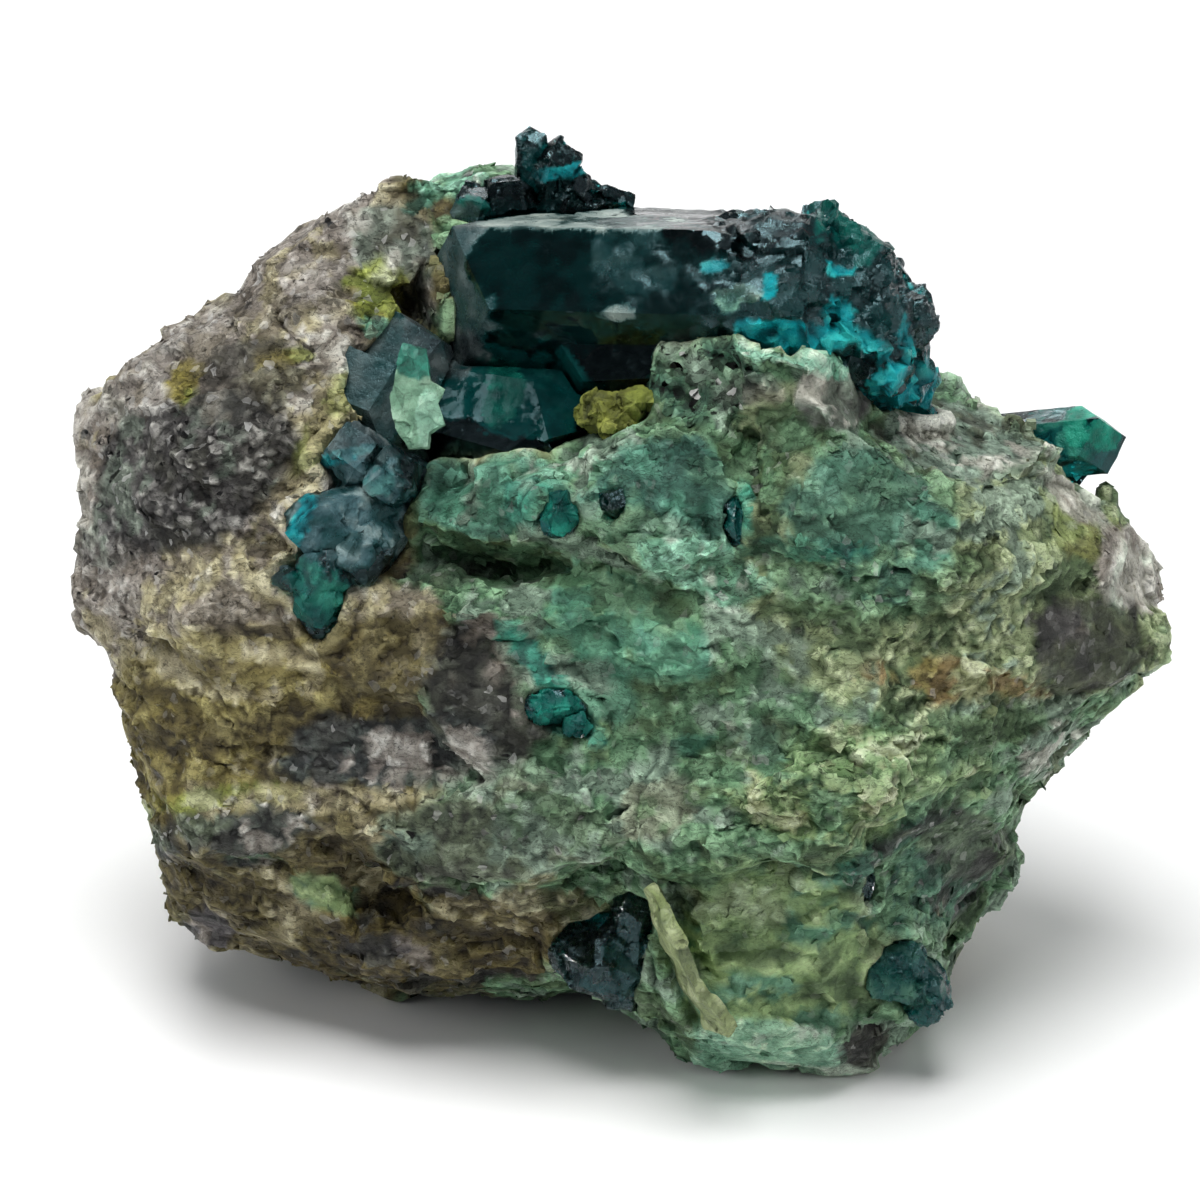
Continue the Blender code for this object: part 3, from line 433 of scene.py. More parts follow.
# Where the faces of the crystals are etched dull: middle pixel, half width and half height, turn, share
ETCHED = {
    "grey patch": (660, 275, 70, 50, -15, 0.4), "chip": (617, 315, 16, 9, 5, 0.6),
    "right half": (800, 300, 120, 90, -10, 0.7), "lower wedge": (640, 365, 70, 24, 5, 0.4),
}

# Films without gaps. The others are patchy.
SOLID_FILMS = ("turquoise", "pocket film", "emerald film", "violet film", "bright emerald")

# The painted reflection of the bright light above lies only where a face looks up at least this far, from 0
# to 1
LEVEL = 0.86

MAIN = "main_crystal"
LARGE_CRYSTALS = (MAIN, "left_crystal_pair", "pocket_crystal", "top_crystals", "right_crystal")

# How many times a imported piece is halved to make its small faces
USUAL_DEPTH = 6
FINE_DEPTH = {MAIN: 7}

# Where the main crystal turns into a jumble of small ones, in pixels across the picture, and the sizes of the
# crystals' steps and broken lumps in millimetres
JUMBLE = (690, 760)
GROWTH_STEP = (16.0, 2.4, 2.4)
CRYSTAL_LUMP = (2.8, 2.4, 2.6)
CRYSTAL_CHIP = (1.1, 1.1, 1.1)

# Spots of another mineral on the crust pieces: piece, then a patch as for the rock
CRUST_SPOTS = {
    "flake tip": ("green_flake", (414, 358, 22, 20, 0, "emerald film", 0.95)),
    "flake side": ("green_flake", (428, 420, 12, 26, 0, "mint film", 0.6)),
    "knob light": ("yellow_knob", (640, 402, 18, 14, 0, "yellow green", 0.6)),
}

# How many different chips there are. Each is the hull of some random corners in a box, in millimetres.
CHIP_KINDS = 8
CHIP_CORNERS = 9
CHIP_SIZE = (1.0, 0.8, 0.34)

# How far the flakes and the grains lean off the surface, in radians
FLAKE_TILT = 0.35
GRAIN_TILT = 0.6

# The floor: strips along it, how fast it curves up, how high it goes in metres, and how rough its paper is
FLOOR_STRIPS = 40
FLOOR_CURVE = 3.0
FLOOR_HEIGHT = 1.2
PAPER_ROUGHNESS = 0.9

# Width of the camera's sensor in millimetres
SENSOR = 36

# Lights: place and side length in metres, and the setting that holds the power
LIGHTS = {
    "top light": ((-0.05, -0.12, 0.72), 0.40, "top_power"),
    "right light": ((0.62, -0.34, 0.34), 0.30, "side_power"),
    "left light": ((-0.62, -0.20, 0.30), 0.30, "side_power"),
    "back light": ((0.0, 0.95, 0.50), 0.8, "back_power"),
}

# The room is bright behind the specimen and dimmer around the camera: the share that is left there, and
# where it starts and ends, from -1 behind the specimen to 1 behind the camera
DIM_SHARE = 0.25
DIM_FROM = -0.2
DIM_TO = 0.8


# Colours and places in the photograph


def linear(code):
    """A colour from its sRGB hex code, in linear light, by the curve of the sRGB standard."""
    channels = [int(code[start:start + 2], 16) / 255 for start in (1, 3, 5)]
    return tuple(c / 12.92 if c <= 0.04045 else ((c + 0.055) / 1.055) ** 2.4 for c in channels)


def pixels_of(points):
    """Pixel of the photograph where the viewer sees each point, and its depth in millimetres."""
    offset = points - np.array(MIDDLE)
    near = offset @ np.array(TOWARDS)
    shrink = 1 - near / VIEW_DISTANCE
    across = offset @ np.array(RIGHT) / shrink / PIXEL
    rise = offset @ np.array(UP) / shrink / PIXEL
    return np.column_stack([PICTURE_MIDDLE[0] + across, PICTURE_MIDDLE[1] - rise]), near / MM


def soft_step(value, low, high):
    """0 below low, 1 above high, and an even rise between them."""
    share = np.clip((value - low) / (high - low), 0, 1)
    return share * share * (3 - 2 * share)


# Noise and broken pieces


def scramble(cells, seed):
    """A repeatable random number from 0 to 1 for each whole-number cell. The large numbers mix its bits."""
    cells = cells.astype(np.int64).astype(np.uint64)
    mixed = cells[..., 0] * np.uint64(73856093) ^ cells[..., 1] * np.uint64(19349663)
    mixed = mixed ^ cells[..., 2] * np.uint64(83492791) ^ np.uint64(seed * 2654435761 % 2 ** 32)
    mixed = (mixed ^ (mixed >> np.uint64(15))) * np.uint64(2246822519) % np.uint64(2 ** 32)
    mixed = (mixed ^ (mixed >> np.uint64(13))) * np.uint64(3266489917) % np.uint64(2 ** 32)
    return ((mixed ^ (mixed >> np.uint64(16))) % np.uint64(2 ** 24)).astype(float) / 2 ** 24


def smooth_noise(points, scale, seed):
    """Smooth noise from -1 to 1 at each point. Its waves are as long as scale: three sizes or one, in
    millimetres."""
    spots = points / (scale * MM)
    base = np.floor(spots)
    part = spots - base
    part = part * part * part * (part * (part * 6 - 15) + 10)
    total = 0
    for corner in np.ndindex(2, 2, 2):
        weight = np.prod(np.where(np.array(corner), part, 1 - part), axis=1)
        total = total + weight * scramble(base + corner, seed)
    return total * 2 - 1


def rough_noise(points, scale, seed, layers=4):
    """Layered noise: each layer is half the size and about half the height of the last."""
    total, height = 0, 1.0
    for layer in range(layers):
        turned = points @ TILTS[layer % len(TILTS)]
        total = total + height * smooth_noise(turned, np.array(scale) / 2 ** layer, seed + layer)
        height *= NEXT_LAYER
    return total / FULL_HEIGHT


def wandering(points, scale, seed, layers, reach_mm):
    """Rough noise in three directions, up to a reach in millimetres."""
    noises = [rough_noise(points, scale, seed + axis, layers) for axis in range(3)]
    return np.column_stack(noises) * reach_mm * MM


def broken_cells(points, size, seed):
    """The broken piece of each point, of a size in millimetres: its random number, how near its edge is, and
    how high it leans there."""
    spots = points / (np.array(size) * MM)
    base = np.floor(spots)
    nearest = np.full(len(points), np.inf)
    second = nearest.copy()
    own, offset = base.copy(), np.zeros_like(spots)
    for shift in np.ndindex(3, 3, 3):
        cell = base + np.array(shift) - 1
        away = spots - cell - np.column_stack([scramble(cell, seed + axis) for axis in (1, 2, 3)])
        gap = np.sqrt((away ** 2).sum(axis=1))
        closer = gap < nearest
        second = np.where(closer, nearest, np.minimum(second, gap))
        nearest = np.where(closer, gap, nearest)
        own[closer], offset[closer] = cell[closer], away[closer]
    tilt = np.column_stack([scramble(own, seed + axis) for axis in (5, 6, 7)]) * 2 - 1
    return scramble(own, seed + 9), second - nearest, (offset * tilt).sum(axis=1)


def terraces(points, size, seed, steps):
    """Rough noise cut into flat plates: its height in level steps, and how far up its step each point is."""
    height = rough_noise(points, size, seed, 3) * steps
    level = np.floor(height)
    return (level + soft_step(height - level, 0.8, 1.0)) / steps, height - level


# Meshes


def node_mesh(name):
    """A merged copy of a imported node's mesh."""
    mesh = bpy.data.objects[name].data.copy()
    mesh.materials.clear()
    shape = bmesh.new()
    shape.from_mesh(mesh)
    bmesh.ops.remove_doubles(shape, verts=shape.verts, dist=0.002 * MM)
    shape.to_mesh(mesh)
    shape.free()
    return mesh


def new_piece(name, mesh, slot, material, *nodes):
    """A piece of the object in the scene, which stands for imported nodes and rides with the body."""
    piece = bpy.data.objects.new(name, mesh)
    bpy.context.scene.collection.objects.link(piece)
    if material:
        mesh.materials.clear()
        mesh.materials.append(material)
    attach(piece, BODY)
    if nodes:
        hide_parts(*nodes)


def evaluated(mesh, add_modifier):
    """A mesh after one modifier, as a plain mesh."""
    helper = bpy.data.objects.new("helper", mesh)
    bpy.context.scene.collection.objects.link(helper)
    add_modifier(helper)
    bpy.context.view_layer.update()
    result = bpy.data.meshes.new_from_object(helper.evaluated_get(bpy.context.evaluated_depsgraph_get()))
    bpy.data.objects.remove(helper)
    return result


def voxel_remesh(mesh, size):
    """The mesh made of even faces of a size in metres."""
    def add(helper):
        remesh = helper.modifiers.new("even points", "REMESH")
        remesh.mode = "VOXEL"
        remesh.voxel_size = size

    return evaluated(mesh, add)


def read_points(mesh, what):
    """A three-part value of every point of a mesh, such as its place (co) or its normal."""
    flat = np.empty(len(mesh.vertices) * 3)
    mesh.vertices.foreach_get(what, flat)
    return flat.reshape(-1, 3)


def points_of(mesh):
    """The place of every point, in metres."""
    return read_points(mesh, "co")


def normals_of(mesh):
    """The way out of the surface at every point."""
    return read_points(mesh, "normal")


def move_points(mesh, points):
    """Put every point of a mesh in its new place."""
    mesh.vertices.foreach_set("co", points.ravel())
    mesh.update()


def store(mesh, name, values):
    """A number for each point, or a colour for each point, that a material can read."""
    if values.ndim == 1:
        kept = mesh.attributes.new(name, "FLOAT", "POINT")
        kept.data.foreach_set("value", values.astype(np.float32))
    else:
        kept = mesh.attributes.new(name, "FLOAT_COLOR", "POINT")
        colours = np.column_stack([values, np.ones(len(values))]).astype(np.float32)
        kept.data.foreach_set("color", colours.ravel())


def edges_of(mesh):
    """The two point numbers of every edge."""
    flat = np.empty(len(mesh.edges) * 2, dtype=np.int32)
    mesh.edges.foreach_get("vertices", flat)
    return flat.reshape(-1, 2)


def spread(values, edges, rounds):
    """Values evened out over neighbouring points, in several rounds."""
    count = np.bincount(edges.ravel(), minlength=len(values)).astype(float)
    for _ in range(rounds):
        total = np.bincount(edges[:, 0], weights=values[edges[:, 1]], minlength=len(values))
        total += np.bincount(edges[:, 1], weights=values[edges[:, 0]], minlength=len(values))
        values = 0.5 * values + 0.5 * total / np.maximum(count, 1)
    return values


# Rock


def patch_cover(pixels, wander, patch):
    """How deep each pixel lies inside a patch: 1 at its middle, 0 at its edge, below 0 outside."""
    px, py, wide, high, turn = patch[:5]
    across, rise = pixels[:, 0] - px, py - pixels[:, 1]
    cosine, sine = math.cos(math.radians(turn)), math.sin(math.radians(turn))
    along = (across * cosine + rise * sine) / wide
    aside = (rise * cosine - across * sine) / high
    return 1 - np.sqrt(along ** 2 + aside ** 2) + wander * min(1.0, CALM_PATCH / min(wide, high))


def tones_of(mineral):
    """The hollow (painted shade), body and pale edge (partly wear, partly painted highlight) of a mineral or
    a film, as nine numbers in linear light.
    """
    codes = (MINERALS.get(mineral) or FILMS[mineral])[:3]
    return np.concatenate([LIGHT_SHARE * linear(code) for code in codes])


def mineral_row(mineral):
    """The tones of a mineral, of its paler partner and of its darker one, and then how it breaks."""
    *_, layered, grainy, smooth, paler, darker = MINERALS[mineral]
    return np.concatenate([*(tones_of(name) for name in (mineral, paler, darker)), (layered, grainy, smooth)])


def distance_to_crack(pixels, line):
    """Shortest distance from each pixel to an open line."""
    best = np.full(len(pixels), np.inf)
    for start, end in zip(np.array(line[:-1], float), np.array(line[1:], float)):
        side = end - start
        along = np.clip((pixels - start) @ side / (side @ side), 0, 1)
        best = np.minimum(best, np.linalg.norm(pixels - start - along[:, None] * side, axis=1))
    return best


def ragged(points, seed=53):
    """How far the edge of a patch wanders at each point: long fingers along the layers, and small nicks."""
    fingers = rough_noise(points @ LAYER_TURN, (7.0, 7.0, 2.6), seed, 6)
    return 0.62 * fingers + 0.2 * rough_noise(points, 0.8, seed + 9, 3)


def layered_places(points):
    """Points turned level with the layers of the rock, and how far each bends off them."""
    return points @ LAYER_TURN, wandering(points, 2.5, 61, 3, 0.35)


def mineral_mix(points, pixels, wander, front):
    """The row of each point's mineral: patches in front, layered minerals on the sides and behind."""
    bent = points @ LAYER_TURN + wandering(points, 6, 31, 4, 2.4)
    layer_number, _, _ = broken_cells(bent, HIDDEN_LAYER, 41)
    picked = (np.clip(layer_number, 0, 0.999) ** 1.25 * len(HIDDEN_MINERALS)).astype(int)
    hidden = np.array([mineral_row(name) for name in HIDDEN_MINERALS])[picked]
    crusted = 0.7 * soft_step(rough_noise(points, 16, 47, 6) + points[:, 0] / (40 * MM), 0.1, 0.3)[:, None]
    hidden = hidden * (1 - crusted) + mineral_row("yellow sage") * crusted
    green = soft_step(pixels[:, 0] + 90 * wander, *STAINED_TO_GREEN)[:, None]
    mix = mineral_row("amber") * (1 - green) + mineral_row("sage") * green
    for patch in PATCHES.values():
        share = soft_step(patch_cover(pixels, wander, patch), -0.06, 0.10)[:, None] * patch[6]
        near = share[:, 0] > 0.001
        mix[near] += (mineral_row(patch[5]) - mix[near]) * share[near]
    return hidden + (mix - hidden) * front[:, None]


def rock_relief(points, breaks):
    """The fine relief: its height in millimetres, how far up its step each point is, and the numbers of
    its thin piece and its grain."""
    turned, bend = layered_places(points)
    thin_number, _, thin_lean = broken_cells(turned + bend, THIN_PIECE, 71)
    grain_number, _, grain_lean = broken_cells(points + bend * 0.4, GRAIN, 79)
    layered, grainy, smooth = breaks.T
    plates, up_step = terraces(turned + bend * 2, PLATE_STEPS, 83, 4)
    broken = 0.25 + 0.75 * soft_step(rough_noise(turned, (8.0, 8.0, 4.0), 89, 3), -0.25, 0.35)
    height = layered * 0.6 * plates
    height += layered * broken * (0.13 * thin_lean + 0.12 * (thin_number - 0.5))
    height += broken * grainy * (0.11 * grain_lean + 0.07 * (grain_number - 0.5))
    height += (0.06 - 0.04 * smooth) * rough_noise(points, 1.4, 97, 3)
    return height, up_step, thin_number, grain_number


def lifted(points, pixels, front):
    """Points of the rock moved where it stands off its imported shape."""
    moved = points.copy()
    for *patch, right, up, towards in LIFTS.values():
        share = front * soft_step(patch_cover(pixels, 0, patch), 0.0, 0.5)
        moved += share[:, None] * np.array(RIGHT * right + UP * up + TOWARDS * towards) * MM
    return moved


def flattened(points, normals, piece, share, most_mm):
    """Points moved a share of the way to the mean plane of the broken piece that each belongs to."""
    _, label, count = np.unique(piece, return_inverse=True, return_counts=True)
    middle = np.column_stack([np.bincount(label, weights=column) for column in points.T]) / count[:, None]
    facing = np.column_stack([np.bincount(label, weights=column) for column in normals.T]) / count[:, None]
    length = np.linalg.norm(facing, axis=1)
    facing /= np.maximum(length, 0.01)[:, None]
    away = ((points - middle[label]) * facing[label]).sum(axis=1) * (length[label] > 0.5)
    away = np.clip(away, -most_mm * MM, most_mm * MM)
    return points - facing[label] * (away * share)[:, None]


def crisp(mesh):
    """Smooth shading that breaks where two faces meet at more than the crisp angle."""
    shape = bmesh.new()
    shape.from_mesh(mesh)
    for face in shape.faces:
        face.smooth = True
    for edge in shape.edges:
        edge.smooth = edge.calc_face_angle(0) < CRISP_ANGLE
    shape.to_mesh(mesh)
    shape.free()


def broken_pieces(points, pixels, wander, front):
    """The numbers of each point's large and small broken piece, and how near the small one's edge is."""
    turned, bend = layered_places(points)
    large, _, _ = broken_cells(turned + bend * 3, LARGE_PIECE, 59)
    small, small_edge, _ = broken_cells(turned + bend, SMALL_PIECE, 73)
    for number, name in enumerate(FLAT_PLATES):
        inside = (patch_cover(pixels, wander, PATCHES[name]) > 0) & (front > 0.5)
        large = np.where(inside, 1.0 + number, large)
    return large, small, small_edge


def crystal_tree():
    """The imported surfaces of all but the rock, to find how far a point of the rock is from them."""
    corners, faces = [], []
    for name in [*CRYSTALS, *(piece[0] for piece in CRUST_PIECES)]:
        mesh = bpy.data.objects[name].data
        start = len(corners)
        corners.extend(vertex.co.copy() for vertex in mesh.vertices)
        faces.extend([start + corner for corner in polygon.vertices] for polygon in mesh.polygons)
    return BVHTree.FromPolygons(corners, faces)


def distance_to_crystals(points, reach_mm):
    """Distance in millimetres from each point to the nearest packed crystal, up to reach_mm."""
    tree = crystal_tree()
    return np.array([tree.find_nearest(Vector(point), reach_mm * MM)[3] or reach_mm * MM
                     for point in points]) / MM


def three_tones(columns, tone):
    """Colour between the hollow, which is painted shade, the body and the pale edge, which is partly wear and
    partly painted highlight, for a tone from -1 to 1.
    """
    shade, body, wear_and_highlight = columns[:, 0:3], columns[:, 3:6], columns[:, 6:9]
    tone = tone[:, None]
    return np.where(tone < 0, body + (shade - body) * -tone, body + (wear_and_highlight - body) * tone)


def thinned(mesh, triangles):
    """The mesh with its flattest faces joined until it has a number of triangles."""
    count = sum(len(face.vertices) - 2 for face in mesh.polygons)

    def add(helper):
        thin = helper.modifiers.new("fewer faces", "DECIMATE")
        thin.ratio = min(1.0, triangles / count)

    return evaluated(mesh, add)


def front_share(mesh):
    """How far each point looks at the viewer, evened out: 1 on the front, 0 on the back."""
    return spread(soft_step(normals_of(mesh) @ np.array(TOWARDS), -0.35, 0.1), edges_of(mesh), 6)


def blocked_out(settings):
    """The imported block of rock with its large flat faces, raised plates and cracks, in even small faces."""
    mesh = voxel_remesh(node_mesh("matrix"), settings.point_gap)
    front = front_share(mesh)
    points = points_of(mesh)
    points = lifted(points, pixels_of(points)[0], front)
    move_points(mesh, points)
    normals = normals_of(mesh)
    pixels, _ = pixels_of(points)
    wander = ragged(points)
    clear = soft_step(distance_to_crystals(points, CRYSTAL_REACH), *CLEAR_OF_CRYSTALS)
    large, _, _ = broken_pieces(points, pixels, wander, front)
    broken = flattened(points, normals, large, 0.9 * clear, 1.8)
    number, _, lean = broken_cells(points @ LAYER_TURN, LEANING_PIECE, 67)
    height = 0.35 * lean + 0.35 * (number - 0.5)
    for name, raised in RAISED_PLATES.items():
        height += front * raised * soft_step(patch_cover(pixels, wander, PATCHES[name]), -0.02, 0.05)
    wobble = 14 * rough_noise(points, 2.4, 107, 5)
    for line, depth, width in CRACKS.values():
        reach = np.maximum(distance_to_crack(pixels, line) + wobble, 0)
        height -= front * depth * np.exp(-(reach / width) ** 2)
    height = np.clip(height, -2.4, 1.2) * settings.relief * clear
    moved = broken + normals * (height * MM)[:, None]
    moved[:, 2] = np.maximum(moved[:, 2], 0.0)
    move_points(mesh, moved)
    return voxel_remesh(mesh, settings.fine_gap)


def tone_with_painted_light(points, bulge, hollow, pieces, breaks, up_step, rim):
    """How pale each point looks, from -1 to 1: painted shade in hollows, in the cracks between small pieces
    and at the foot of each step, paler bulges and step rims that are partly wear and partly painted
    highlight, and random tone of pieces, grains and layers.
    """
    small, small_edge, thin_number, grain_number = pieces
    # Painted shade in the hollows, and random tone of the thin pieces
    tone = np.clip(1.1 * hollow, -1, 1) + 0.3 * (thin_number - 0.5)
    tone += 0.4 * (grain_number - 0.5) * breaks[:, 1]
    # Painted highlight on bulges and painted shade in dips, and random tone of the small pieces
    tone += np.clip(7.0 * bulge, -0.9, 1.0) + 0.35 * (small - 0.5)
    # Painted shade in the cracks between the small pieces
    tone -= 0.3 * np.exp(-(small_edge / 0.06) ** 2)
    tone += 0.45 * rough_noise(points @ LAYER_TURN, (4.0, 4.0, 0.9), 101, 5)
    # Painted highlight on the rim of each step and painted shade at its foot
    tone += 0.6 * soft_step(up_step, 0.85, 1.0) - 0.55 * soft_step(up_step, 0.45, 0.8) * (up_step < 0.85)
    # Painted highlight round the raised plates and painted shade round the sunken patches
    return np.clip(tone + 0.6 * rim, -1, 1)


def spotted_colour(points, mix, tone):
    """The colour of each point's mineral, with ragged spots of its paler and its darker partner."""
    colour = three_tones(mix[:, 0:9], tone)
    spots = rough_noise(points @ LAYER_TURN, (3.6, 3.6, 1.5), 113, 6)
    paler, darker = soft_step(spots, 0.17, 0.26)[:, None], soft_step(-spots, 0.20, 0.30)[:, None]
    colour += (three_tones(mix[:, 9:18], tone) - colour) * paler * 0.85
    colour += (three_tones(mix[:, 18:27], tone) - colour) * darker * 0.85
    return colour


def rock_mesh(settings):
    """The block of rock as the photograph shows it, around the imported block."""
    mesh = blocked_out(settings)
    edges = edges_of(mesh)
    front = front_share(mesh)
    points, normals = points_of(mesh), normals_of(mesh)
    pixels, _ = pixels_of(points)
    wander = ragged(points)
    large, small, small_edge = broken_pieces(points, pixels, wander, front)
    wander += 0.25 * (small - 0.5)
    mix = mineral_mix(points, pixels, wander, front)
    breaks = mix[:, -3:]
    height, up_step, thin_number, grain_number = rock_relief(points, breaks)
    # The flat plates, whose numbers start at 1, are half as rough
    calm = spread(np.where(large >= 1, 0.5, 1.0), edges, 4)
    height += (0.05 + 0.22 * breaks[:, 0]) * (small - 0.5)
    # Rims of the raised and sunken patches, for their painted highlight and painted shade
    rim = np.zeros(len(points))
    for name, raised in RAISED_PLATES.items():
        inside = patch_cover(pixels, wander, PATCHES[name])
        rim += front * np.sign(raised) * np.exp(-((inside - 0.05) / 0.05) ** 2)
    gap = distance_to_crystals(points, CRYSTAL_REACH)
    clear = soft_step(gap, *CLEAR_OF_CRYSTALS)
    height = height * calm * settings.relief * clear + SWELL * (1 - soft_step(gap, *SWELL_GAP))
    height = height * soft_step(points[:, 2], *FOOT_RISE)
    moved = flattened(points, normals, small, 0.7 * clear, 0.6) + normals * (height * MM)[:, None]
    moved[:, 2] = np.maximum(moved[:, 2], 0.0)
    move_points(mesh, moved)
    # How far each point bulges and sinks, for the painted highlight and painted shade of its tone
    even = np.column_stack([spread(column, edges, 3) for column in moved.T])
    bulge = ((moved - even) * normals_of(mesh)).sum(axis=1) / MM
    hollow = height - spread(height, edges, 12)
    pieces = (small, small_edge, thin_number, grain_number)
    colour = spotted_colour(points, mix, tone_with_painted_light(points, bulge, hollow, pieces, breaks, up_step, rim))
    store(mesh, "rock_colour", colour)
    store(mesh, "grainy", breaks[:, 1])
    store(mesh, "smooth", breaks[:, 2])
    greener = colour[:, 1] - colour[:, 0]
    store(mesh, "green_chips", front * soft_step(greener, 0.02, 0.06))
    store(mesh, "grey_chips", front * soft_step(-greener, -0.03, 0.02))
    mesh = thinned(mesh, ROCK_TRIANGLES)
    crisp(mesh)
    return mesh


# Nodes and the rock's material


def fill_inputs(tree, node, inputs):
    """Give a node's inputs, by name or in order, plain values or links from other nodes."""
    for name, value in inputs.items() if isinstance(inputs, dict) else enumerate(inputs):
        if isinstance(value, bpy.types.Node):
            value = value.outputs[0]
        if isinstance(value, bpy.types.NodeSocket):
            tree.links.new(value, node.inputs[name])
        else:
            node.inputs[name].default_value = value


def add_node(tree, kind, inputs=(), **settings):
    """Add a node with its settings and its inputs."""
    node = tree.nodes.new(kind)
    for name, value in settings.items():
        setattr(node, name, value)
    fill_inputs(tree, node, inputs)
    return node


def new_material(name):
    """A material with its tree and its shader."""
    material = bpy.data.materials.new(name)
    material.use_nodes = True
    return material, material.node_tree, material.node_tree.nodes["Principled BSDF"]


def noise_scale(size_mm):
    """The scale of a noise node whose features are size_mm across, on coordinates in metres."""
    return 1 / (size_mm * MM)


def broken_patterns(tree, layering, plate_mm, grain_mm):
    """Patterns of a broken mineral: its plates, a random colour for each flake and each grain, and its finest
    grains. Those are 0.22 mm, about four of the photograph's pixels, across."""
    spots = add_node(tree, "ShaderNodeTexCoord").outputs["Object"]
    warp = add_node(tree, "ShaderNodeTexNoise", {"Vector": spots, "Scale": noise_scale(1.2), "Detail": 2.0})
    bent = add_node(tree, "ShaderNodeVectorMath", (warp.outputs["Color"], (0.9 * MM,) * 3, spots),
                    operation="MULTIPLY_ADD")
    flat = add_node(tree, "ShaderNodeMapping",
                    {"Vector": bent, "Rotation": LAYER_LEAN, "Scale": (1, 1, layering)})
    plates = add_node(tree, "ShaderNodeTexNoise",
                      {"Vector": flat, "Scale": noise_scale(plate_mm), "Detail": 6.0, "Roughness": 0.62})
    flakes = add_node(tree, "ShaderNodeTexVoronoi", {"Vector": flat, "Scale": noise_scale(0.6 * plate_mm)})
    grains = add_node(tree, "ShaderNodeTexVoronoi", {"Vector": bent, "Scale": noise_scale(grain_mm)})
    fine = add_node(tree, "ShaderNodeTexNoise",
                    {"Vector": spots, "Scale": noise_scale(0.22), "Detail": 3.0, "Roughness": 0.7})
    return plates, flakes.outputs["Color"], grains.outputs["Color"], fine


def broken_normal(tree, stair, flakes, grains, fine, plate_share, grain_share):
    """The normal of a broken mineral: bumps of its steps and finest grains, and leaning flakes and grains."""
    stair_bump = add_node(tree, "ShaderNodeBump",
                          {"Height": stair, "Strength": plate_share, "Distance": 0.05 * MM})
    fine_bump = add_node(tree, "ShaderNodeBump",
                         {"Height": fine, "Normal": stair_bump, "Strength": 0.35, "Distance": 0.08 * MM})
    grain_way = add_node(tree, "ShaderNodeVectorMath", (grains, MIDDLE_COLOUR), operation="SUBTRACT")
    grain_lean = add_node(tree, "ShaderNodeVectorMath", {0: grain_way, "Scale": grain_share},
                          operation="SCALE")
    flake_lean = add_node(tree, "ShaderNodeVectorMath", (flakes, MIDDLE_COLOUR), operation="SUBTRACT")
    lean = add_node(tree, "ShaderNodeVectorMath", (flake_lean, grain_lean), operation="ADD")
    leaning = add_node(tree, "ShaderNodeVectorMath", (fine_bump, lean), operation="ADD")
    return add_node(tree, "ShaderNodeVectorMath", (leaning,), operation="NORMALIZE")


def broken_surface(tree, layering, plate_mm, grain_mm, plate_share, grain_share):
    """Fine break of a mineral: ragged plates and tilted grains. Gives its tone, with painted highlight on the
    step rims and painted shade at the step feet, the share of its brightest grains, which get a painted glint
    and gloss, and its tilted normal.
    """
    plates, flakes, grains, fine = broken_patterns(tree, layering, plate_mm, grain_mm)

    # Steps: each is level and ends in a steep rise
    climb = add_node(tree, "ShaderNodeMath", (plates, 13.0), operation="MULTIPLY")
    part = add_node(tree, "ShaderNodeMath", (climb,), operation="FRACT")
    level = add_node(tree, "ShaderNodeMath", (climb,), operation="FLOOR")
    rise = add_node(tree, "ShaderNodeMapRange", (part, 0.8, 1.0, 0.0, 1.0), **SMOOTHLY)
    stair = add_node(tree, "ShaderNodeMath", (level, rise), operation="ADD")
    normal = broken_normal(tree, stair, flakes, grains, fine, plate_share, grain_share)

    # Tone: painted highlight on the rims of the steps and painted shade at their feet, and a little from
    # every other pattern
    rim = add_node(tree, "ShaderNodeMapRange", (part, 0.0, 0.10, 1.0, 0.0), **SMOOTHLY)
    foot_in = add_node(tree, "ShaderNodeMapRange", (part, 0.62, 0.80, 0.0, 1.0), **SMOOTHLY)
    foot_out = add_node(tree, "ShaderNodeMapRange", (part, 0.82, 0.92, 1.0, 0.0), **SMOOTHLY)
    foot = add_node(tree, "ShaderNodeMath", (foot_in, foot_out), operation="MULTIPLY")
    painted_step_light = add_node(tree, "ShaderNodeMath", (rim, foot), operation="SUBTRACT")
    tone = add_node(tree, "ShaderNodeMath", (painted_step_light, plate_share), operation="MULTIPLY")
    grain_parts = add_node(tree, "ShaderNodeSeparateXYZ", (grains,)).outputs
    flake_part = add_node(tree, "ShaderNodeSeparateXYZ", (flakes,)).outputs[1]
    grain_tone = add_node(tree, "ShaderNodeMath", (grain_parts[0], 0.5), operation="SUBTRACT")
    for part_tone in (
            add_node(tree, "ShaderNodeMath", (grain_tone, grain_share), operation="MULTIPLY"),
            add_node(tree, "ShaderNodeMapRange", (fine, 0.3, 0.7, -0.3, 0.3), **SMOOTHLY),
            add_node(tree, "ShaderNodeMapRange", (plates, 0.3, 0.7, -0.3, 0.3), **SMOOTHLY),
            add_node(tree, "ShaderNodeMath", (flake_part, 0.6, -0.3), operation="MULTIPLY_ADD")):
        tone = add_node(tree, "ShaderNodeMath", (tone, part_tone), operation="ADD")

    # The brightest few grains get a painted glint in their colour, and are glossier
    bright_grain = add_node(tree, "ShaderNodeMapRange", (grain_parts[1], 0.955, 0.965, 0.0, 1.0), **SMOOTHLY)
    glint_paint_and_gloss = add_node(tree, "ShaderNodeMath", (bright_grain, grain_share), operation="MULTIPLY")
    return tone, glint_paint_and_gloss, normal


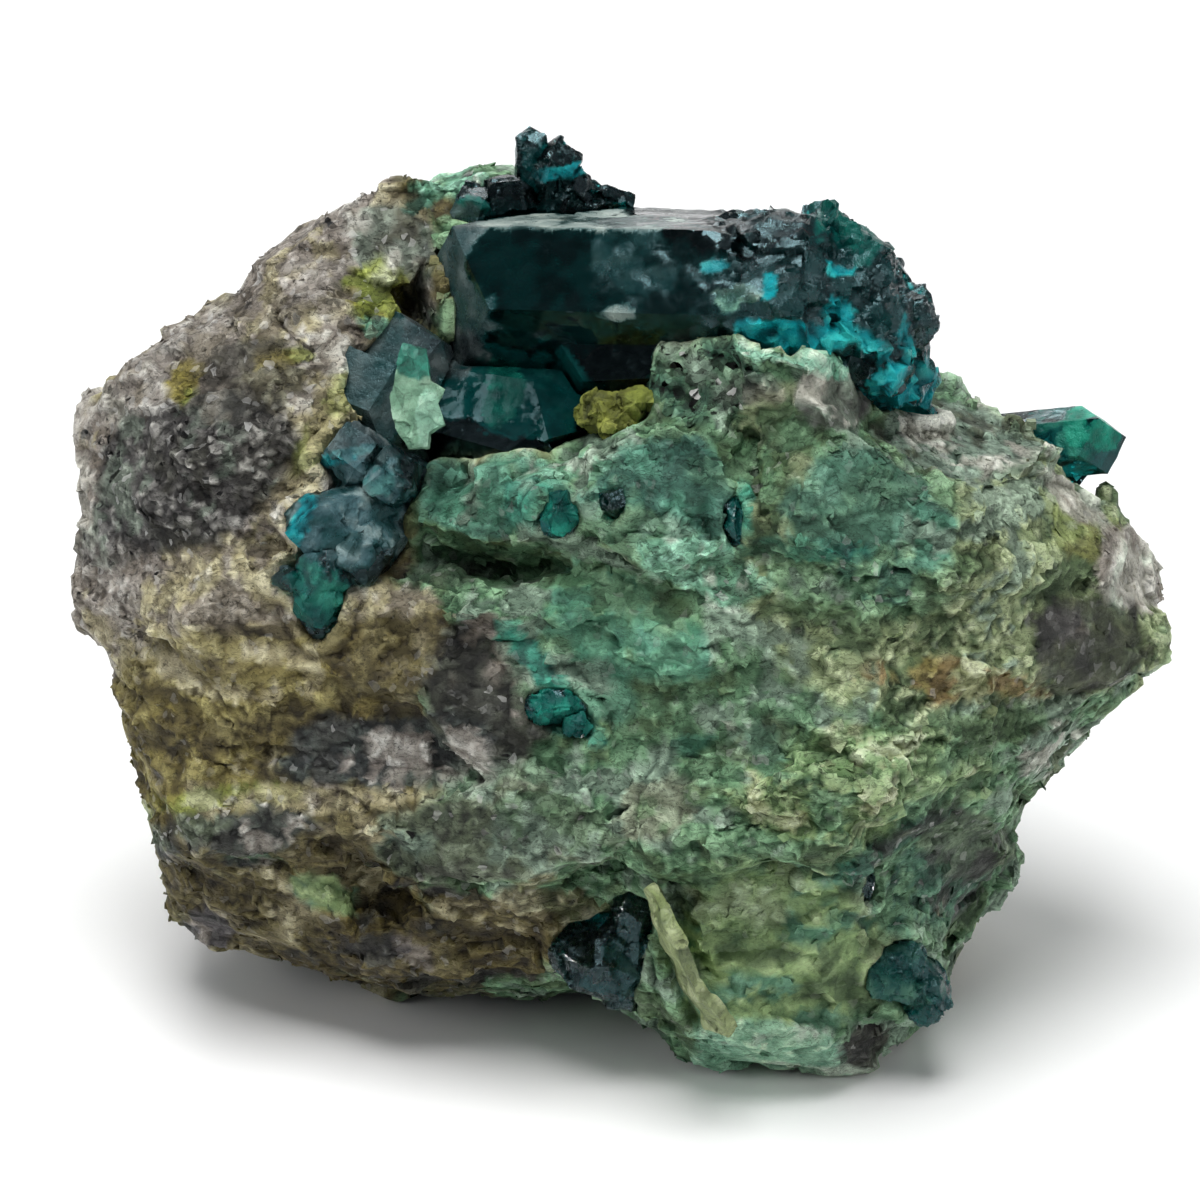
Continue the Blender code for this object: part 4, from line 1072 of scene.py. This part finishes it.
def rock_material(settings):
    """Foliated quartz rock, broken by hand: dull ragged plates whose step rims are painted paler as highlight
    and whose step feet are painted darker as shade, and sugary grains, a few of which get a painted glint and
    a little gloss.
    The minerals' colours, with their painted shade and highlight, are stored on the points."""
    material, tree, shader = new_material("foliated quartz rock, broken")
    grainy = add_node(tree, "ShaderNodeAttribute", attribute_name="grainy").outputs["Fac"]
    smooth = add_node(tree, "ShaderNodeAttribute", attribute_name="smooth").outputs["Fac"]
    stored = add_node(tree, "ShaderNodeAttribute", attribute_name="rock_colour").outputs["Color"]
    uneven = add_node(tree, "ShaderNodeMath", (1.15, smooth), operation="SUBTRACT")
    plate_share = add_node(tree, "ShaderNodeMath", (uneven, 0.8), operation="MULTIPLY")
    tone, glint_paint_and_gloss, normal = broken_surface(tree, 2.6, 3.2, 0.45, plate_share, grainy)
    bright = add_node(tree, "ShaderNodeMath", (tone, 0.48, 1.0), operation="MULTIPLY_ADD")
    colour = add_node(tree, "ShaderNodeVectorMath", (stored, bright), operation="MULTIPLY")
    # Painted glint: the brightest grains are painted towards a near-white
    painted_glint_share = add_node(tree, "ShaderNodeMath", (glint_paint_and_gloss, 0.30), operation="MULTIPLY")
    with_painted_glints = add_node(tree, "ShaderNodeMix",
                        {"Factor": painted_glint_share, 6: colour, 7: (*settings.painted_glint_colour, 1)},
                        data_type="RGBA").outputs[2]
    # Roughness follows the tone, which holds painted highlight on the step rims and painted shade at their
    # feet
    wear_and_highlight = add_node(tree, "ShaderNodeMapRange", (tone, -0.6, 0.8, 0.8, 0.5), **SMOOTHLY)
    polish = add_node(tree, "ShaderNodeMath", (smooth, 0.2), operation="MULTIPLY")
    shine = add_node(tree, "ShaderNodeMath", (glint_paint_and_gloss, 0.25, polish), operation="MULTIPLY_ADD")
    rough = add_node(tree, "ShaderNodeMath", (wear_and_highlight, shine), operation="SUBTRACT")
    fill_inputs(tree, shader, {"Base Color": with_painted_glints, "Roughness": rough, "Normal": normal,
                               "Specular IOR Level": 0.35})
    return material


# Crystals


def fine_mesh(name, depth):
    """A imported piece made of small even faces, halved so many times, with its edges kept crisp."""
    def add(helper):
        remesh = helper.modifiers.new("even faces", "REMESH")
        remesh.mode = "SHARP"
        remesh.octree_depth = depth
        remesh.sharpness = 1.0
        remesh.use_remove_disconnected = False

    return evaluated(node_mesh(name), add)


def etched_share(name, points, pixels, wander, texture, jumble):
    """How dull each point of a crystal is etched, from 0 to 1."""
    etch = np.full(len(points), CRYSTALS[name][0])
    if name == MAIN:
        for *patch, share in ETCHED.values():
            inside = soft_step(patch_cover(pixels, 2.0 * wander, patch), -0.2, 0.6)
            inside = inside * (0.6 + 0.4 * soft_step(texture, -0.3, 0.3))
            etch = np.maximum(etch, share * inside)
    return np.maximum(etch, 0.5 * jumble)


def crystal_mesh(name):
    """A packed crystal grown fine: growth steps along it, etched patches, broken lumps and coloured films."""
    _, step, broken = CRYSTALS[name]
    mesh = fine_mesh(name, FINE_DEPTH.get(name, USUAL_DEPTH))
    points, normals = points_of(mesh), normals_of(mesh)
    edges = edges_of(mesh)
    pixels, _ = pixels_of(points)
    wander = ragged(points, 131)
    texture = rough_noise(points, 1.6, 163, 5)
    jumble = soft_step(pixels[:, 0], *JUMBLE) * (name == MAIN)
    etch = etched_share(name, points, pixels, wander, texture, jumble)
    steps, _ = terraces(points, GROWTH_STEP, 137, 5)
    lump, _, lean = broken_cells(points, CRYSTAL_LUMP, 139)
    number, _, small_lean = broken_cells(points, CRYSTAL_CHIP, 149)
    height = step * steps * 2 + (broken + 0.7 * jumble) * (lean + 0.5 * small_lean)
    height += (0.02 + 0.10 * etch) * rough_noise(points, 0.8, 151, 4)
    height = np.clip(height, -1.2, 0.5)
    base = flattened(points, normals, lump, 0.85 * jumble, 1.2)
    move_points(mesh, base + normals * (height * MM)[:, None])
    share, dull = np.zeros(len(points)), etch
    colour = np.tile(tones_of("deep teal")[3:6], (len(points), 1))
    # Painted shade in the hollows and painted highlight on the bumps, with random tone
    hollow = height - spread(height, edges, 10)
    tone = np.clip(1.5 * rough_noise(points, 1.2, 157, 5) + 3.0 * hollow + 0.6 * (number - 0.5), -1, 1)
    for *patch, film, cover in CRYSTAL_FILMS.values():
        near = patch_cover(pixels, 2.0 * wander + 0.3 * (number - 0.5), patch)
        inside = soft_step(near, -0.05, 0.14) * cover * (normals @ np.array(TOWARDS) > -0.2)
        patchy = 0.2 if film in SOLID_FILMS else 0.65
        inside = inside * (1 - patchy * soft_step(-texture, -0.15, 0.35))
        # The painted reflection lies only on faces that look up
        if film == "pale film":
            inside = inside * (normals[:, 2] > LEVEL)
        row = np.tile(tones_of(film), (len(points), 1))
        colour += (three_tones(row, tone) - colour) * inside[:, None]
        share = np.maximum(share, inside)
        dull = np.maximum(dull, inside * (film != "pocket film"))
    store(mesh, "film_colour", colour)
    store(mesh, "film", share)
    store(mesh, "etched", np.clip(dull, 0, 1))
    crisp(mesh)
    return mesh


def crystal_material(name, settings, reach):
    """Copper silicate crystal, grown: clear deep green that is black where thick, glossy on its growth faces,
    dull where it is etched, and covered where a film is stored on its points."""
    material, tree, shader = new_material(name)
    etched = add_node(tree, "ShaderNodeAttribute", attribute_name="etched").outputs["Fac"]
    film = add_node(tree, "ShaderNodeAttribute", attribute_name="film").outputs["Fac"]
    film_colour = add_node(tree, "ShaderNodeAttribute", attribute_name="film_colour").outputs["Color"]
    covered = add_node(tree, "ShaderNodeMapRange", (film, 0.0, 0.01, 0.0, 1.0), **SMOOTHLY)
    base = add_node(tree, "ShaderNodeMix", {"Factor": covered, 6: (1, 1, 1, 1), 7: film_colour},
                    data_type="RGBA").outputs[2]
    clear = add_node(tree, "ShaderNodeMath", (1.0, film), operation="SUBTRACT")
    spots = add_node(tree, "ShaderNodeTexCoord").outputs["Object"]
    long_spots = add_node(tree, "ShaderNodeMapping", {"Vector": spots, "Scale": (0.12, 1, 1)})
    growth = add_node(tree, "ShaderNodeTexNoise",
                      {"Vector": long_spots, "Scale": noise_scale(0.7), "Detail": 2.0, "Roughness": 0.6})
    pits = add_node(tree, "ShaderNodeTexNoise",
                    {"Vector": spots, "Scale": noise_scale(0.6), "Detail": 4.0, "Roughness": 0.72})
    dull = add_node(tree, "ShaderNodeMath", (etched, 0.42, settings.roughness), operation="MULTIPLY_ADD")
    uneven = add_node(tree, "ShaderNodeMapRange", (pits, 0.35, 0.65, 0.6, 1.4), **SMOOTHLY)
    rough = add_node(tree, "ShaderNodeMath", (dull, uneven), operation="MULTIPLY")
    growth_bump = add_node(tree, "ShaderNodeBump",
                           {"Height": growth, "Strength": 0.12, "Distance": 0.12 * MM})
    pitted = add_node(tree, "ShaderNodeMath", (etched, etched), operation="MULTIPLY")
    pit_bump = add_node(tree, "ShaderNodeBump",
                        {"Height": pits, "Normal": growth_bump, "Strength": pitted, "Distance": 0.35 * MM})
    fill_inputs(tree, shader, {
        "Base Color": base, "Transmission Weight": clear, "Roughness": rough, "Normal": pit_bump,
        "IOR": settings.index, "Specular IOR Level": 0.2, "Specular Tint": (*settings.sheen_colour, 1)})
    inside = add_node(tree, "ShaderNodeVolumeAbsorption",
                      {"Color": (*settings.light_colour, 1), "Density": 1 / reach})
    fill_inputs(tree, tree.nodes["Material Output"], {"Volume": inside})
    return material


# Crusts


def crust_mesh(name, mineral, size_mm, relief, bend_mm):
    """A packed crust piece, finely divided, with a crumbly broken surface."""
    mesh = fine_mesh(name, USUAL_DEPTH)
    points, normals = points_of(mesh), normals_of(mesh)
    points = points + wandering(points, 4.0, 191, 3, bend_mm)
    pixels, _ = pixels_of(points)
    number, edge_gap, lean = broken_cells(points + wandering(points, 1.5, 161, 3, 0.3), (size_mm,) * 3, 167)
    height = relief * (0.8 * lean + 0.5 * (number - 0.5) - 0.2 * np.exp(-(edge_gap / 0.1) ** 2))
    height += 0.4 * relief * rough_noise(points, 0.7, 173, 4)
    move_points(mesh, points + normals * (height * MM)[:, None])
    # Painted highlight on the raised parts and painted shade on the low ones, with random tone
    tone = np.clip(0.8 * height / relief + 0.5 * rough_noise(points, 1.2, 179, 4), -1, 1)
    rows = np.tile(tones_of(mineral), (len(points), 1))
    wander = ragged(points, 183)
    for piece, patch in CRUST_SPOTS.values():
        if piece == name:
            share = soft_step(patch_cover(pixels, wander, patch), -0.05, 0.15)[:, None] * patch[6]
            rows += (tones_of(patch[5]) - rows) * share
    store(mesh, "crust_colour", three_tones(rows, tone))
    crisp(mesh)
    return mesh


def crust_material(name, roughness):
    """A dull mineral skin with ragged plates and fine grains, in the colours stored on its points, with
    painted highlight on the rims of its steps and painted shade at their feet.
    """
    material, tree, shader = new_material(name)
    tone, _, normal = broken_surface(tree, 1.0, 1.6, 0.45, 0.7, 0.5)
    stored = add_node(tree, "ShaderNodeAttribute", attribute_name="crust_colour").outputs["Color"]
    bright = add_node(tree, "ShaderNodeMath", (tone, 0.35, 1.0), operation="MULTIPLY_ADD")
    colour = add_node(tree, "ShaderNodeVectorMath", (stored, bright), operation="MULTIPLY")
    fill_inputs(tree, shader, {"Base Color": colour, "Normal": normal, "Roughness": roughness})
    return material


# Flakes and grains


def chip_objects(count, seed):
    """Flat broken chips in a collection, each about a millimetre long before it is scaled."""
    chips = bpy.data.collections.new("chips")
    bpy.context.scene.collection.children.link(chips)
    for number in range(count):
        cells = np.array([(number, corner, 0) for corner in range(CHIP_CORNERS)])
        spots = np.column_stack([scramble(cells, seed + axis) - 0.5 for axis in range(3)])
        spots *= np.array(CHIP_SIZE) * MM
        shape = bmesh.new()
        for spot in spots:
            shape.verts.new(spot)
        result = bmesh.ops.convex_hull(shape, input=shape.verts)
        loose = [item for item in result["geom_interior"] if isinstance(item, bmesh.types.BMVert)]
        bmesh.ops.delete(shape, geom=loose, context="VERTS")
        mesh = bpy.data.meshes.new(f"chip {number}")
        shape.to_mesh(mesh)
        shape.free()
        chips.objects.link(bpy.data.objects.new(f"chip {number}", mesh))
    return chips


def scatter_tree(chips, share_name, tilt):
    """A node tree that strews chips over a surface, more of them where the named share is higher."""
    tree = bpy.data.node_groups.new("strewn chips", "GeometryNodeTree")
    sockets = tree.interface
    for name, kind in (("Surface", "Geometry"), ("Density", "Float"), ("Smallest", "Float"),
                       ("Largest", "Float"), ("Seed", "Int"), ("Skin", "Material")):
        sockets.new_socket(name, in_out="INPUT", socket_type=f"NodeSocket{kind}")
    sockets.new_socket("Chips", in_out="OUTPUT", socket_type="NodeSocketGeometry")
    given = add_node(tree, "NodeGroupInput").outputs
    share = add_node(tree, "GeometryNodeInputNamedAttribute", {"Name": share_name}, data_type="FLOAT")
    density = add_node(tree, "ShaderNodeMath", (share, given["Density"]), operation="MULTIPLY")
    strewn = add_node(tree, "GeometryNodeDistributePointsOnFaces",
                      {"Mesh": given["Surface"], "Density": density, "Seed": given["Seed"]})
    turn = add_node(tree, "FunctionNodeRandomValue",
                    {0: (-tilt, -tilt, -math.pi), 1: (tilt, tilt, math.pi), "Seed": given["Seed"]},
                    data_type="FLOAT_VECTOR")
    turn_by = add_node(tree, "FunctionNodeEulerToRotation", {"Euler": turn})
    facing = add_node(tree, "FunctionNodeRotateRotation",
                      {"Rotation": strewn.outputs["Rotation"], "Rotate By": turn_by}, rotation_space="LOCAL")
    size = add_node(tree, "FunctionNodeRandomValue",
                    {2: given["Smallest"], 3: given["Largest"], "Seed": given["Seed"]}, data_type="FLOAT")
    kinds = add_node(tree, "GeometryNodeCollectionInfo",
                     {"Collection": chips, "Separate Children": True, "Reset Children": True})
    placed = add_node(tree, "GeometryNodeInstanceOnPoints",
                      {"Points": strewn, "Instance": kinds, "Rotation": facing, "Scale": size.outputs[1],
                       "Pick Instance": True})
    real = add_node(tree, "GeometryNodeRealizeInstances", {"Geometry": placed})
    skin = add_node(tree, "GeometryNodeSetMaterial", {"Geometry": real, "Material": given["Skin"]})
    add_node(tree, "NodeGroupOutput", {"Chips": skin})
    return tree


def strewn_mesh(surface, tree, material, density, smallest, largest, seed):
    """The chips strewn over a surface, as a plain mesh. Density is in chips per square millimetre."""
    values = {"Density": density / MM ** 2, "Smallest": smallest, "Largest": largest, "Seed": seed,
              "Skin": material}

    def add(helper):
        modifier = helper.modifiers.new("strewn chips", "NODES")
        modifier.node_group = tree
        for item in tree.interface.items_tree:
            if item.item_type == "SOCKET" and item.in_out == "INPUT" and item.name in values:
                modifier[item.identifier] = values[item.name]

    mesh = evaluated(surface, add)
    if not mesh.polygons:
        raise RuntimeError("no chips were strewn")
    return mesh


# Stage


def area_light(name, location, size, power):
    """A square lamp that looks at the middle of the specimen."""
    light = bpy.data.lights.new(name, "AREA")
    light.shape = "SQUARE"
    light.size = size
    light.energy = power
    lamp = bpy.data.objects.new(name, light)
    bpy.context.scene.collection.objects.link(lamp)
    lamp.location = location
    lamp.rotation_euler = (MIDDLE - Vector(location)).to_track_quat("-Z", "Y").to_euler()


def build_floor(settings):
    """A pale floor that curves up behind the specimen."""
    mesh = bpy.data.meshes.new("floor")
    shape = bmesh.new()
    bmesh.ops.create_grid(shape, x_segments=2, y_segments=FLOOR_STRIPS, size=settings.floor_half_width)
    for vertex in shape.verts:
        behind = max(0.0, vertex.co.y - settings.bend_start)
        vertex.co.z = min(behind ** 2 * FLOOR_CURVE, FLOOR_HEIGHT)
        vertex.co.y = min(vertex.co.y, settings.bend_start * 2)
    shape.to_mesh(mesh)
    shape.free()
    mesh.shade_smooth()
    floor = bpy.data.objects.new("floor", mesh)
    bpy.context.scene.collection.objects.link(floor)
    # Uncoated paper: a plain white that scatters all light and has no gloss
    paper, tree, shader = new_material("white paper, matte")
    fill_inputs(tree, shader, {"Base Color": (*settings.paper_colour, 1), "Roughness": PAPER_ROUGHNESS})
    mesh.materials.append(paper)


def build_camera():
    """The camera at the photograph's distance and angle, with the specimen at the picture's size."""
    data = bpy.data.cameras.new("camera")
    data.sensor_width = SENSOR
    data.lens = SENSOR * VIEW_DISTANCE / (PICTURE_SIZE * PIXEL)
    data.clip_start = 10 * MM
    camera = bpy.data.objects.new("camera", data)
    bpy.context.scene.collection.objects.link(camera)
    camera.location = MIDDLE + TOWARDS * VIEW_DISTANCE
    camera.rotation_euler = (math.pi / 2 - VIEW_TILT, 0, 0)
    bpy.context.scene.camera = camera


def build_lights(settings):
    """Soft light from above and behind, a little from the sides, and a dimmer room around the camera."""
    for name, (location, size, power) in LIGHTS.items():
        area_light(name, location, size, getattr(settings, power))
    world = bpy.data.worlds.new("studio")
    world.use_nodes = True
    tree = world.node_tree
    way = add_node(tree, "ShaderNodeTexCoord").outputs["Generated"]
    ahead = add_node(tree, "ShaderNodeVectorMath", (way, TOWARDS), operation="DOT_PRODUCT").outputs["Value"]
    strength = add_node(tree, "ShaderNodeMapRange",
                        (ahead, DIM_FROM, DIM_TO, settings.room_light, settings.room_light * DIM_SHARE),
                        **SMOOTHLY)
    fill_inputs(tree, tree.nodes["Background"], {"Color": (*settings.room_colour, 1), "Strength": strength})
    bpy.context.scene.world = world
    bpy.context.scene.view_settings.view_transform = "Standard"


# Settings


def colour_property(name, description, code):
    """A colour that a user can change, from its hex code."""
    return bpy.props.FloatVectorProperty(name=name, description=description, default=linear(code),
                                         subtype="COLOR", size=3, min=0.0, max=1.0)


def length_property(name, description, millimetres):
    """A length that a user can change."""
    return bpy.props.FloatProperty(name=name, description=description, default=millimetres * MM,
                                   min=0.01 * MM, unit="LENGTH")


def share_property(name, description, value, highest=100.0):
    """A plain number that a user can change."""
    return bpy.props.FloatProperty(name=name, description=description, default=value, min=0.0, max=highest)


class RockSettings(bpy.types.PropertyGroup):
    """Sizes and colours of the rock."""
    point_gap: length_property("Point gap", "Distance between points of the blocked out rock", 0.36)
    fine_gap: length_property("Fine gap", "Distance between points of the finished rock", 0.30)
    relief: share_property("Relief", "How strongly the rock is broken, 1 as photographed", 1.0, 2.0)
    # The glint colour is a painted glint, mixed into the colour of the brightest grains
    painted_glint_colour: colour_property("Glint colour", "Colour of the brightest grains", "#d8d8d4")


class CrystalSettings(bpy.types.PropertyGroup):
    """Sizes, glass values and colours of the crystals."""
    light_colour: colour_property("Light colour", "Colour that light keeps inside the crystals", "#00dcdc")
    sheen_colour: colour_property("Sheen colour", "Colour of the gloss that looks straight back", "#acd6de")
    deep_reach: length_property("Deep reach", "How far light goes into the large crystals", 0.36)
    dark_reach: length_property("Dark reach", "How far light goes into the dark crystals on top", 0.12)
    druse_reach: length_property("Druse reach", "How far light goes into the small etched crystals", 0.50)
    index: share_property("Refractive index", "Refractive index of dioptase", 1.66, 3.0)
    roughness: share_property("Roughness", "Roughness of the cleanest faces", 0.05, 1.0)


class ChipSettings(bpy.types.PropertyGroup):
    """Sizes and numbers of the loose flakes and grains on the rock."""
    flake_smallest: share_property("Smallest flake", "Length of the smallest flake in millimetres", 0.35)
    flake_largest: share_property("Largest flake", "Length of the largest flake in millimetres", 1.15)
    grain_smallest: share_property("Smallest grain", "Length of the smallest grain in millimetres", 0.25)
    grain_largest: share_property("Largest grain", "Length of the largest grain in millimetres", 0.8)
    flake_density: share_property("Flake density", "Flakes for each square millimetre of green crust", 0.6)
    grain_density: share_property("Grain density", "Grains for each square millimetre of quartz", 0.9)


class StageSettings(bpy.types.PropertyGroup):
    """Sizes, colours and lights of the stage."""
    floor_half_width: length_property("Floor half width", "Half the width of the floor", 1500)
    bend_start: length_property("Bend start", "Where the floor starts to curve up behind", 550)
    paper_colour: colour_property("Paper colour", "Colour of the floor", "#f4f4f3")
    room_colour: colour_property("Room colour", "Colour of the light from all around", "#f0f6ff")
    room_light: share_property("Room light", "Strength of the light from all around", 0.35)
    top_power: share_property("Top power", "Power of the light above, in watts", 5.2)
    side_power: share_property("Side power", "Power of each side light, in watts", 1.2)
    back_power: share_property("Back power", "Power of the light behind, in watts", 6.0)


class DioptaseSettings(bpy.types.PropertyGroup):
    """All the settings of the specimen."""
    rock: bpy.props.PointerProperty(type=RockSettings)
    crystals: bpy.props.PointerProperty(type=CrystalSettings)
    chips: bpy.props.PointerProperty(type=ChipSettings)
    stage: bpy.props.PointerProperty(type=StageSettings)


# Operators and panel


class DIOPTASE_OT_stage(bpy.types.Operator):
    """Build the floor, the lights and the camera"""
    bl_idname = "dioptase.stage"
    bl_label = "Stage"

    def execute(self, context):
        settings = context.scene.dioptase.stage
        build_floor(settings)
        build_lights(settings)
        build_camera()
        return {"FINISHED"}


class DIOPTASE_OT_rock(bpy.types.Operator):
    """Build the block of rock"""
    bl_idname = "dioptase.rock"
    bl_label = "Rock"

    def execute(self, context):
        settings = context.scene.dioptase.rock
        new_piece("rock", rock_mesh(settings), "rock", rock_material(settings), "matrix")
        return {"FINISHED"}


class DIOPTASE_OT_crystals(bpy.types.Operator):
    """Build every crystal of dioptase"""
    bl_idname = "dioptase.crystals"
    bl_label = "Crystals"

    def execute(self, context):
        settings = context.scene.dioptase.crystals
        # Grown faces are glossy windows into deep green, black where thick. The etched druse lets light
        # further in, looks teal and has a satin gloss.
        deep = crystal_material("dioptase, grown faces", settings, settings.deep_reach)
        dark = crystal_material("dioptase, dark grown faces", settings, settings.dark_reach)
        druse = crystal_material("dioptase, etched druse", settings, settings.druse_reach)
        for name in CRYSTALS:
            slot, material = ("dioptase", deep) if name in LARGE_CRYSTALS else ("druse", druse)
            if name == "top_crystals":
                material = dark
            new_piece(f"visual_{name}", crystal_mesh(name), slot, material, name)
        return {"FINISHED"}


class DIOPTASE_OT_crusts(bpy.types.Operator):
    """Build the crumbly knob, the green flake and the curled flake"""
    bl_idname = "dioptase.crusts"
    bl_label = "Crusts"

    def execute(self, context):
        for name, mineral, size_mm, relief, bend_mm, slot, material, roughness in CRUST_PIECES:
            mesh = crust_mesh(name, mineral, size_mm, relief, bend_mm)
            new_piece(f"visual_{name}", mesh, slot, crust_material(material, roughness), name)
        return {"FINISHED"}


class DIOPTASE_OT_chips(bpy.types.Operator):
    """Strew flakes and grains over the rock"""
    bl_idname = "dioptase.chips"
    bl_label = "Flakes and grains"

    def execute(self, context):
        settings = context.scene.dioptase.chips
        rock = bpy.data.objects["rock"].data
        chips = chip_objects(CHIP_KINDS, 181)
        skin = rock.materials[0]
        green = scatter_tree(chips, "green_chips", FLAKE_TILT)
        grey = scatter_tree(chips, "grey_chips", GRAIN_TILT)
        flakes = strewn_mesh(rock, green, skin, settings.flake_density,
                             settings.flake_smallest, settings.flake_largest, 5)
        grains = strewn_mesh(rock, grey, skin, settings.grain_density,
                             settings.grain_smallest, settings.grain_largest, 6)
        new_piece("green_flakes", flakes, "rock", None)
        new_piece("quartz_grains", grains, "rock", None)
        for chip in list(chips.objects):
            bpy.data.objects.remove(chip)
        bpy.data.collections.remove(chips)
        return {"FINISHED"}


class DIOPTASE_PT_panel(bpy.types.Panel):
    """Buttons and settings of the specimen in the sidebar"""
    bl_idname = "DIOPTASE_PT_panel"
    bl_label = "Dioptase"
    bl_space_type = "VIEW_3D"
    bl_region_type = "UI"
    bl_category = "Dioptase"

    def draw(self, context):
        for operator in OPERATORS:
            self.layout.operator(operator.bl_idname)
        for group in ("rock", "crystals", "chips", "stage"):
            box = self.layout.box()
            box.label(text=group.capitalize())
            settings = getattr(context.scene.dioptase, group)
            for name in settings.bl_rna.properties.keys():
                if name not in ("rna_type", "name"):
                    box.prop(settings, name)


# What is registered, and the order of the pieces
SETTINGS = (RockSettings, CrystalSettings, ChipSettings, StageSettings, DioptaseSettings)
OPERATORS = (DIOPTASE_OT_stage, DIOPTASE_OT_rock, DIOPTASE_OT_crystals, DIOPTASE_OT_crusts, DIOPTASE_OT_chips)


def register():
    """Make the settings, the operators and the panel known."""
    for kind in (*SETTINGS, *OPERATORS, DIOPTASE_PT_panel):
        bpy.utils.register_class(kind)
    bpy.types.Scene.dioptase = bpy.props.PointerProperty(type=DioptaseSettings)


def unregister():
    """Take the panel, the operators and the settings away again."""
    del bpy.types.Scene.dioptase
    for kind in reversed((*SETTINGS, *OPERATORS, DIOPTASE_PT_panel)):
        bpy.utils.unregister_class(kind)


def main():
    """Build every piece and the stage in order."""
    register()
    for operator in OPERATORS:
        getattr(bpy.ops.dioptase, operator.bl_idname.split(".")[1])()


if __name__ == "__main__":
    main()
